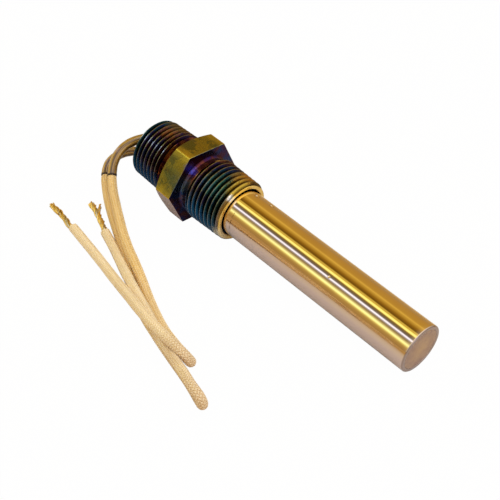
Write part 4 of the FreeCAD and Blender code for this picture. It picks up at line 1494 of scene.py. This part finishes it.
class HelixGraphs:
    """Geometry node groups that lay yarns or wires in helices along a curve."""

    def __init__(self) -> None:
        """Build the groups once."""
        self.half = self._half_braid()
        self.braid = self._braid()
        self.bundle = self._bundle()

    @staticmethod
    def _prepare(g: GraphBuilder, given: bpy.types.bpy_prop_collection, copies: Socket) -> tuple:
        """Resample the path, copy it and capture length, tangent and normal on it.

        Args:
            g: the group's builder.
            given: the group's given sockets.
            copies: how many copies lie on the path.

        Returns:
            The copies, their running length, tangent and normal, and each one's index.
        """
        even = g.evenly(given["Geometry"], given["Step"])
        level = g.geometry("GeometryNodeSetCurveNormal", {"Curve": even}, mode="MINIMUM_TWIST")
        many = g.node("GeometryNodeDuplicateElements", {"Geometry": level, "Amount": copies},
                      domain="SPLINE")
        line, run = g.capture(many.outputs[0], "Run", "FLOAT", g.parameter("Length"))
        line, tangent = g.capture(line, "Tangent", "VECTOR", g.geometry("GeometryNodeInputTangent"))
        line, normal = g.capture(line, "Normal", "VECTOR", g.geometry("GeometryNodeInputNormal"))
        line, index = g.capture(line, "Index", "FLOAT", many.outputs["Duplicate Index"])
        return line, run, tangent, normal, index

    @staticmethod
    def _push(g: GraphBuilder, line: Socket, tangent: Socket, normal: Socket, angle: Socket,
              reach: Socket) -> tuple:
        """Move each point sideways by a reach at an angle, and return the line and direction."""
        cross = g.vector("CROSS_PRODUCT", tangent, normal)
        out_a = g.vector("SCALE", normal, scale=g.math("COSINE", angle))
        out_b = g.vector("SCALE", cross, scale=g.math("SINE", angle))
        line, direction = g.capture(line, "Outward", "VECTOR", g.vector("ADD", out_a, out_b))
        offset = g.vector("SCALE", direction, scale=reach)
        return g.geometry("GeometryNodeSetPosition", {"Geometry": line, "Offset": offset}), direction

    def _half_braid(self) -> bpy.types.NodeTree:
        """The yarns of a braid that turn one way, passing over two and under two."""
        tree, g, given, out = geometry_group("Braid half", (*YARN_INPUTS, ("Hand", FLOAT, 1.0)))
        line, run, tangent, normal, index = self._prepare(g, given, given["Carriers"])
        hand = given["Hand"]
        share = g.divided(index, given["Carriers"])
        turns = g.divided(run, given["Lay"])
        angle = g.times(g.plus(g.times(turns, hand), share), TURN)
        crossing = g.times(g.times(turns, given["Carriers"]), math.pi)
        parity = g.minus(g.times(index, math.pi), math.pi / 4.0)
        over = g.times(g.math("COSINE", g.plus(g.times(crossing, hand), parity)), hand)
        line, over = g.capture(line, "Over", "FLOAT", over)
        lift = g.times(over, given["Wave"])
        pressed = g.spread(g.minus(run, given["Covered"]), *PACK.press_fade, PACK.pressed, 1.0)
        reach = g.times(g.plus(given["Radius"], lift), pressed)
        line, outward = self._push(g, line, tangent, normal, angle, reach)
        line = g.geometry("GeometryNodeSetCurveNormal", {"Curve": line, "Normal": outward}, mode="FREE")
        # A profile's X points outward, so the yarn's thickness is on X and its width on Y.
        size = g.join(given["Yarn Thickness"], given["Yarn Width"], 1.0)
        flat = g.geometry("GeometryNodeTransform", {"Geometry": g.circle(6, 0.5), "Scale": size})
        flat, across = g.capture(flat, "Across", "FLOAT", g.parameter("Factor"))
        mesh = g.geometry("GeometryNodeCurveToMesh", {"Curve": line, "Profile Curve": flat})
        own = g.plus(index, g.times(hand, PACK.hand_step))
        for label, value in (("along", run), ("across", across), ("over", over), ("yarn", own)):
            mesh = g.store(mesh, label, value)
        g.feed(out.inputs[0], mesh)
        return tree

    def _braid(self) -> bpy.types.NodeTree:
        """Both sets of yarns over a core, pressed in along the length that the sleeve covers."""
        tree, g, given, out = geometry_group("Braid", (
            *YARN_INPUTS, ("Core Radius", FLOAT, 0.00128), ("Yarn", MATERIAL, None),
            ("Core", MATERIAL, None)))
        yarns = g.node("GeometryNodeJoinGeometry")
        for hand in (-1.0, 1.0):
            half = g.node("GeometryNodeGroup", {"Hand": hand}, node_tree=self.half)
            for label in ("Geometry", *(row[0] for row in YARN_INPUTS)):
                g.feed(half.inputs[label], given[label])
            g.feed(yarns.inputs[0], half.outputs[0])
        core = g.rod(g.evenly(given["Geometry"], g.times(given["Step"], 2.0)), 20, given["Core Radius"])
        both = g.node("GeometryNodeJoinGeometry")
        g.feed(both.inputs[0], g.coat(core, given["Core"]))
        g.feed(both.inputs[0], g.coat(yarns.outputs[0], given["Yarn"]))
        g.feed(out.inputs[0], g.geometry("GeometryNodeRealizeInstances", {"Geometry": both.outputs[0]}))
        return tree

    def _bundle(self) -> bpy.types.NodeTree:
        """Round wires packed in a bundle, twisted and splayed towards its end."""
        tree, g, given, out = geometry_group("Wire bundle", (
            ("Wires", INTEGER, 16), ("Wire Radius", FLOAT, 0.00014), ("Lay", FLOAT, 0.008),
            ("Splay", FLOAT, 0.6), ("Seed", INTEGER, 3), ("Step", FLOAT, 0.0004), ("Wire", MATERIAL, None)))
        line, run, tangent, normal, index = self._prepare(g, given, given["Wires"])
        chance = g.node("FunctionNodeRandomValue", {"ID": index, "Seed": given["Seed"]},
                        data_type="FLOAT").outputs[1]
        line, chance = g.capture(line, "Chance", "FLOAT", chance)
        line, share = g.capture(line, "Share", "FLOAT", g.parameter("Factor"))
        golden = g.times(index, math.pi * (3.0 - math.sqrt(5.0)))
        angle = g.plus(golden, g.times(g.divided(run, given["Lay"]), TURN))
        packed = g.times(g.math("SQRT", g.plus(index, PACK.centre)), given["Wire Radius"])
        loose = g.times(g.math("POWER", share, PACK.splay_power),
                        g.times(g.plus(chance, PACK.splay_least), given["Splay"]))
        reach = g.times(packed, g.plus(g.times(loose, PACK.splay_reach), PACK.tight))
        line, _ = self._push(g, line, tangent, normal, angle, reach)
        mesh = g.rod(line, 6, given["Wire Radius"])
        mesh = g.store(g.store(mesh, "along", run), "yarn", index)
        mesh = g.geometry("GeometryNodeRealizeInstances", {"Geometry": mesh})
        g.feed(out.inputs[0], g.coat(mesh, given["Wire"]))
        return tree


GRAPHS = HelixGraphs()


def grow(name: str, points_m: np.ndarray, graph: bpy.types.NodeTree, values: dict) -> bpy.types.Object:
    """Run a geometry node group on a line and keep the result as a plain mesh.

    Args:
        name: the new object's name.
        points_m: the line the group works along, in metres.
        graph: the geometry node group.
        values: the group's inputs by name.

    Returns:
        The mesh object.
    """
    worker = add_line(name + "_line", points_m, "POLY")
    modifier = worker.modifiers.new("grow", "NODES")
    modifier.node_group = graph
    for item in graph.interface.items_tree:
        if item.item_type == "SOCKET" and item.in_out == "INPUT" and item.name in values:
            modifier[item.identifier] = values[item.name]
    graph_eval = bpy.context.evaluated_depsgraph_get()
    mesh = bpy.data.meshes.new_from_object(worker.evaluated_get(graph_eval), depsgraph=graph_eval)
    mesh.name = name
    bpy.data.objects.remove(worker)
    mesh.polygons.foreach_set("use_smooth", [True] * len(mesh.polygons))
    mesh.update()
    return add_object(name, mesh)


def take_in(piece: bpy.types.Object, other: bpy.types.Object) -> None:
    """Add another object's mesh to a piece and remove the other object.

    Args:
        piece: the object that is kept.
        other: the object whose mesh is taken in.
    """
    work = bmesh.new()
    work.from_mesh(piece.data)
    work.from_mesh(other.data)
    work.to_mesh(piece.data)
    work.free()
    bpy.data.objects.remove(other)


class Side(Enum):
    """The two leads."""

    A = "a"
    B = "b"


@dataclass
class Lead:
    """One lead: brown sleeve, glass braid and bare twisted wire.

    Args:
        side: which lead.
        inside: control points in the bore, as switch-frame (X, Z) mm.
        route: control points outside the bore, row-frame mm.
        junction: where the sleeve ends, row-frame mm.
        bare: control points of the bare wire after the braid, row-frame mm.
        wires: number of wires shown.
        lay: the bare wire's lay in metres.
        branch: control points of a few wires that stand away, row-frame mm.
        radius: radius of the sleeve and of the lead in mm.
        rear_end: place of the nipple's rear face in mm.
        sides: number of vertices round the sleeve.
        swells: share, frequency along and phase of each swelling of the sleeve.
        roll: share, distance from the end and width of the rolled end, in metres.
        ripple: share, count round and frequency along of the sleeve's ripple.
        ends: shares of the radius at the sleeve's cut end, at its lip and inside it.
        end_depth: how far the lip turns in, in metres.
        step: spacing of points along the sleeve and the wires in metres.
        braid_step: spacing of points along the braid in metres.
        root: length of the braid that the wires' line begins in, and its spacing, in metres.
        cord_step: spacing of even points along the lead outside the bore, in metres; they are made and not
            used.
    """

    side: Side
    inside: tuple
    route: tuple
    junction: tuple
    bare: tuple
    wires: int
    lay: float
    branch: tuple = ()
    radius: float = 1.53
    rear_end: float = -23.9
    sides: int = 40
    swells: tuple = ((0.012, 900.0, 0.0), (0.010, 2300.0, 1.0))
    roll: tuple = (0.035, 0.0006, 0.0004)
    ripple: tuple = (0.012, 3.0, 260.0)
    ends: tuple = (0.97, 0.86, 0.84)
    end_depth: float = 0.0012
    step: float = 0.0004
    braid_step: float = 0.0005
    root: tuple = (0.003, 0.0015)
    cord_step: float = 0.0008

    def controls(self) -> np.ndarray:
        """All control points in metres, from the inner end to the braid's end."""
        inside = LIE.to_row(np.array([(x, 0.0, z) for x, z in self.inside]))
        return np.concatenate([inside, np.array(self.route) * MM])

    def sleeve_rings(self, points: np.ndarray, run: np.ndarray, inward: np.ndarray) -> list:
        """Centre, radius and point index of each ring of the sleeve.

        Args:
            points: even points along the sleeve in metres.
            run: running length at each point.
            inward: direction back into the sleeve at its cut end.

        Returns:
            The rings, those of the lip and of the inside after the cut end's.
        """
        last, full = len(points) - 1, self.radius * MM
        share, centre, width = self.roll
        cut, lip, within = self.ends
        rings = []
        for i, point in enumerate(points):
            swell = sum((size * math.sin(run[i] * often + phase) for size, often, phase in self.swells), 1.0)
            rolled = 1.0 + share * math.exp(-((run[-1] - run[i] - centre) / width) ** 2)
            rings.append((point, full * swell * rolled * (cut if i == last else 1.0), i))
        rings.append((points[-1], full * lip, last))
        rings.append((points[-1] + inward * self.end_depth, full * within, last))
        return rings

    def build_sleeve(self, points: np.ndarray) -> bpy.types.Object:
        """Make the brown sleeve as a slightly uneven tube with a rolled end.

        Args:
            points: even points along the sleeve in metres.

        Returns:
            The sleeve, with its length, turn and distance to the end stored on it.
        """
        tangents, side_a, side_b = frames_along(points)
        run = Path(points).lengths()
        rings = self.sleeve_rings(points, run, -tangents[-1])
        share, often, along_often = self.ripple
        n = self.sides
        vertices, rows = [], []
        for point, radius, i in rings:
            for j in range(n):
                angle = TURN * j / n
                ripple = 1.0 + share * math.sin(often * angle + run[i] * along_often)
                out = side_a[i] * math.cos(angle) + side_b[i] * math.sin(angle)
                vertices.append(point + out * radius * ripple)
                rows.append((run[i], j / n, run[-1] - run[i]))
        faces = [(i * n + j, i * n + (j + 1) % n, (i + 1) * n + (j + 1) % n, (i + 1) * n + j)
                 for i in range(len(rings) - 1) for j in range(n)]
        faces.append(tuple(reversed(range(n))))
        obj = make_mesh("sleeve_" + self.side.value, np.array(vertices), faces, 60.0)
        for label, values in zip(("along", "around", "to_end"), zip(*rows)):
            attribute = obj.data.attributes.new(label, "FLOAT", "POINT")
            attribute.data.foreach_set("value", values)
        return obj

    def build_braid(self, points: np.ndarray, covered: float) -> bpy.types.Object:
        """Grow the braid along points, pressed in on the length that the sleeve covers."""
        return grow("braid_" + self.side.value, points, GRAPHS.braid, {
            "Covered": covered, "Carriers": 12, "Lay": 0.0100, "Radius": 0.00135,
            "Yarn Width": 0.00060, "Yarn Thickness": 0.00028, "Wave": 0.00009, "Core Radius": 0.00124,
            "Step": 0.00040, "Yarn": GlassBraid().build(), "Core": BraidCore().build()})

    def build_wires(self, label: str, controls_m: np.ndarray, **changed) -> bpy.types.Object:
        """Grow bare wires.

        Args:
            label: name of the bunch; its line has the same name.
            controls_m: control points of its line in metres.
            changed: inputs of the wire bundle that differ from the lead's own, by name.

        Returns:
            The wires as one object.
        """
        line = Path(nurbs_points(label + "_route", controls_m))
        values = {"Wires": self.wires, "Wire Radius": 0.00025, "Lay": self.lay, "Splay": 0.10, "Seed": 5,
                  "Step": 0.0004, "Wire": BareWire().build(), **changed}
        return grow(label, line.even(0.0, line.lengths()[-1], self.step), GRAPHS.bundle, values)

    def build(self) -> list:
        """Returns:
            The pieces: sleeve, braid and strands.
        """
        own = self.side.value
        path = Path(nurbs_points("route_" + own, self.controls()))
        total = path.lengths()[-1]
        joint = path.nearest(tuple(np.array(self.junction) * MM))
        rear = np.array([(self.rear_end, 0.0, self.inside[-1][1])])
        exit_at = path.nearest(tuple(LIE.to_row(rear)[0]))
        sleeve = self.build_sleeve(path.even(0.0, joint, self.step))
        braid = self.build_braid(path.even(exit_at, total, self.braid_step), joint - exit_at)
        root = path.even(total - self.root[0], total, self.root[1])
        strands = self.build_wires("strands_" + own, np.concatenate([root, np.array(self.bare) * MM]))
        if self.branch:
            aside = np.array(self.branch) * MM
            take_in(strands, self.build_wires("few_" + own, aside, Wires=3, Lay=0.007, Splay=0.0))
        sleeve.data.materials.append(VarnishedSleeve().build())
        for piece, node, slot in ((sleeve, "lead_sleeve_", "varnished_sleeve"),
                                  (braid, "lead_braid_", "glass_braid"), (strands, "lead_strands_", "wire")):
            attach(piece, "root")
            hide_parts(node + own)
        line = path.even(exit_at, total, self.cord_step)
        LOG.info("lead %s: %.1f mm outside the bore, sleeve to %.1f mm", own,
                 (total - exit_at) / MM, (joint - exit_at) / MM)
        return [sleeve, braid, strands]


LEADS = (
    Lead(
        side=Side.A, inside=((-2.6, 4.1), (-16.0, 4.1), (-23.2, 3.6)), route=ROUTE_A,
        junction=(-60.9, -16.6, 7.2), wires=10, lay=0.0140,
        bare=((-52.9, -38.9, 1.7), (-57.5, -37.7, 1.8), (-62.2, -37.0, 1.8), (-65.2, -36.8, 1.7)),
    ),
    Lead(
        side=Side.B, inside=((-2.6, -4.1), (-22.9, -4.1)), route=ROUTE_B,
        junction=(-66.9, -14.6, 3.2), wires=10, lay=0.0090,
        bare=((-45.4, -31.1, 1.7), (-49.5, -29.2, 1.8), (-54.1, -27.5, 1.8), (-58.3, -26.2, 1.7)),
        branch=((-47.0, -30.3, 1.7), (-50.7, -28.8, 2.2), (-53.3, -26.7, 2.4), (-55.9, -24.6, 2.0)),
    ),
)


# Inner pieces, kept from the CAD part

@dataclass(frozen=True)
class InnerPieces:
    """Finishes for the CAD nodes that are shown as they are.

    Args:
        finishes: the nodes that each finish is for.
    """

    finishes: tuple = (
        (Metals.INNER.value, ("head_bushing", "head_yoke", "head_pin", "head_rivets", "tail_rivets",
                              "tail_pin", "tail_yoke")),
        (Metals.BRASS.value, ("adjusting_screw",)),
        (Metals.STRUT.value, ("strut_a", "strut_b")),
        (Metals.SILVER.value, ("contact_a", "contact_b")),
        (Metals.TERMINAL.value, ("lead_crimp_a", "lead_crimp_b")),
        (Insulators.CERAMIC.value, ("lead_guide", "head_insulator", "tail_insulator")),
        (Insulators.MICA.value, ("insulating_liner",)),
        (BareWire(), ("lead_conductor_a", "lead_conductor_b")),
    )

    def dress(self) -> None:
        """Give every remaining CAD node its material."""
        for finish, nodes in self.finishes:
            for node in nodes:
                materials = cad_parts[node].data.materials
                materials.clear()
                materials.append(finish.build())


# Stage, light and camera

@dataclass(frozen=True)
class Studio:
    """Pale floor, surrounding light and the photograph's camera.

    Args:
        eye: the camera's place in metres.
        look: its viewing direction.
        right: the direction of its picture's right side.
        up: the direction of its picture's upper side.
        lens: its focal length on a 36 mm sensor.
        floor_half: half the floor's side in metres.
        warm_from: distances beside the probe between which metal sees the floor warmer, in metres.
        glow: share of plain white that the camera sees on the floor.
        strips: the light round the probe, by degrees from +Y over the top.
        room: the light from the half of the room towards the tip, by height.
        room_from: directions along the probe between which the strips give way to the room.
        box_ahead: the same for the soft box ahead of the tip.
        box_side: directions aside between which the soft box ends.
        box_low: directions upward between which it begins.
        box_high: directions upward between which it ends.
    """

    eye: tuple = (0.1733366, -0.2026230, 0.2148370)
    look: tuple = (-0.52857805, 0.58254622, -0.61745052)
    right: tuple = (0.68870135, 0.71952738, 0.08927928)
    up: tuple = (-0.49628187, 0.37804794, 0.78152675)
    lens: float = 78.945
    floor_half: float = 3.0
    warm_from: tuple = (0.018, 0.075)
    glow: float = 0.985
    strips: tuple = (
        (0.0, (0.48, 0.33, 0.16)), (20.0, (0.55, 0.32, 0.08)), (45.0, (0.60, 0.36, 0.065)),
        (52.0, (0.66, 0.41, 0.075)), (57.0, (0.92, 0.62, 0.12)), (61.0, (0.74, 0.48, 0.085)),
        (70.0, (0.54, 0.33, 0.045)), (76.0, (0.38, 0.20, 0.02)), (88.0, (0.18, 0.09, 0.008)),
        (91.0, (0.45, 0.28, 0.04)), (94.0, (0.95, 0.75, 0.16)), (98.0, (0.62, 0.44, 0.08)),
        (101.0, (1.4, 1.25, 0.34)), (106.0, (1.7, 1.65, 0.65)), (109.0, (1.3, 1.2, 0.40)),
        (112.0, (0.36, 0.26, 0.06)), (118.0, (0.20, 0.15, 0.09)), (124.0, (0.28, 0.25, 0.30)),
        (127.0, (1.3, 1.45, 2.2)), (130.5, (1.5, 1.65, 2.6)), (134.0, (0.50, 0.50, 0.66)),
        (139.0, (0.36, 0.27, 0.14)), (143.0, (0.50, 0.42, 0.20)), (148.0, (1.0, 1.0, 0.55)),
        (153.0, (1.6, 1.75, 0.95)), (158.0, (1.2, 1.2, 0.50)), (162.0, (0.75, 0.60, 0.20)),
        (168.0, (0.54, 0.36, 0.12)), (180.0, (0.45, 0.28, 0.10)))
    room: tuple = ((0.0, (0.75, 0.70, 0.62)), (0.5, (1.1, 1.05, 0.96)), (1.0, (1.7, 1.65, 1.55)))
    room_from: tuple = (-0.30, 0.0)
    box_ahead: tuple = (0.75, 0.9)
    box_side: tuple = (0.26, 0.16)
    box_low: tuple = (0.02, 0.06)
    box_high: tuple = (0.36, 0.28)

    def build_camera(self) -> None:
        """Place the camera where the photograph was taken from."""
        data = bpy.data.cameras.new("camera")
        data.lens = self.lens
        data.sensor_width = 36.0
        data.clip_start, data.clip_end = 0.01, 20.0
        camera = add_object("camera", data)
        axes = Matrix((self.right, self.up, tuple(-v for v in self.look))).transposed()
        camera.matrix_world = Matrix.Translation(Vector(self.eye)) @ axes.to_4x4()
        bpy.context.scene.camera = camera

    def build_floor(self) -> None:
        """Make the floor that the switch lies on, white to the camera and warmer to the metal."""
        half = self.floor_half
        corners = np.array([(-half, -half, 0), (half, -half, 0), (half, half, 0), (-half, half, 0)])
        floor = make_mesh("floor", corners, [(0, 1, 2, 3)])
        material = bpy.data.materials.new("floor")
        material.use_nodes = True
        material.node_tree.nodes.clear()
        t = Tree(material.node_tree)
        seen = t.node("ShaderNodeLightPath").outputs["Is Camera Ray"]
        aside = t.math("ABSOLUTE", t.split(t.node("ShaderNodeTexCoord").outputs["Object"])[1])
        far = t.times(t.spread(aside, *self.warm_from), t.minus(1.0, seen))
        cloth = t.node("ShaderNodeBsdfDiffuse", {"Color": t.mix(far, Tint.PAPER, Tint.PAPER_FAR)})
        white = t.node("ShaderNodeEmission", {"Color": WHITE, "Strength": 1.0})
        blend = t.node("ShaderNodeMixShader", {0: t.times(seen, self.glow), 1: cloth.outputs[0],
                                               2: white.outputs[0]})
        t.node("ShaderNodeOutputMaterial", {0: blend.outputs[0]})
        floor.data.materials.append(material)

    def build_light(self) -> None:
        """Surround the switch with strips of light that run along the probe."""
        world = bpy.data.worlds.new("studio")
        bpy.context.scene.world = world
        world.use_nodes = True
        world.node_tree.nodes.clear()
        t = Tree(world.node_tree)
        x, y, z = t.split(t.untilt(t.node("ShaderNodeTexCoord").outputs["Generated"]))
        where = t.divided(t.math("ARCTAN2", z, y), math.pi)
        light = t.ramp(where, tuple((degrees / 180.0, colour) for degrees, colour in self.strips))
        light = t.mix(t.spread(x, *self.room_from), light, t.ramp(z, self.room))
        upright = t.times(t.spread(z, *self.box_low), t.spread(z, *self.box_high))
        box = t.times(t.spread(t.math("ABSOLUTE", y), *self.box_side), upright)
        light = t.mix(t.times(box, t.spread(x, *self.box_ahead)), light, Tint.SOFTBOX)
        lit = t.node("ShaderNodeBackground", {"Color": light, "Strength": 1.0})
        plain = t.node("ShaderNodeBackground", {"Color": WHITE, "Strength": 1.0})
        seen = t.node("ShaderNodeLightPath").outputs["Is Camera Ray"]
        blend = t.node("ShaderNodeMixShader", {0: seen, 1: lit.outputs[0], 2: plain.outputs[0]})
        t.node("ShaderNodeOutputWorld", {0: blend.outputs[0]})

    def build(self) -> None:
        """Build the whole stage."""
        self.build_camera()
        self.build_floor()
        self.build_light()
        bpy.context.scene.view_settings.view_transform = "Standard"


def write_sizes() -> None:
    """Update the view layer.
    """
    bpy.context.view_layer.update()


def main() -> None:
    """Build every sub-assembly, then the stage."""
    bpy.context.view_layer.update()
    nipple, probe = Nipple(), Probe()
    made = nipple.build()
    nipple.dress(made)
    LOG.info("nipple: %d faces", len(made.data.polygons))
    shell, cap = probe.build_shell(), probe.build_cap()
    probe.dress(shell, cap)
    LOG.info("probe: %d and %d faces", len(shell.data.polygons), len(cap.data.polygons))
    for lead in LEADS:
        for piece in lead.build():
            LOG.info("%s: %d faces", piece.name, len(piece.data.polygons))
    InnerPieces().dress()
    write_sizes()
    Studio().build()


if __name__ == "__main__":
    main()
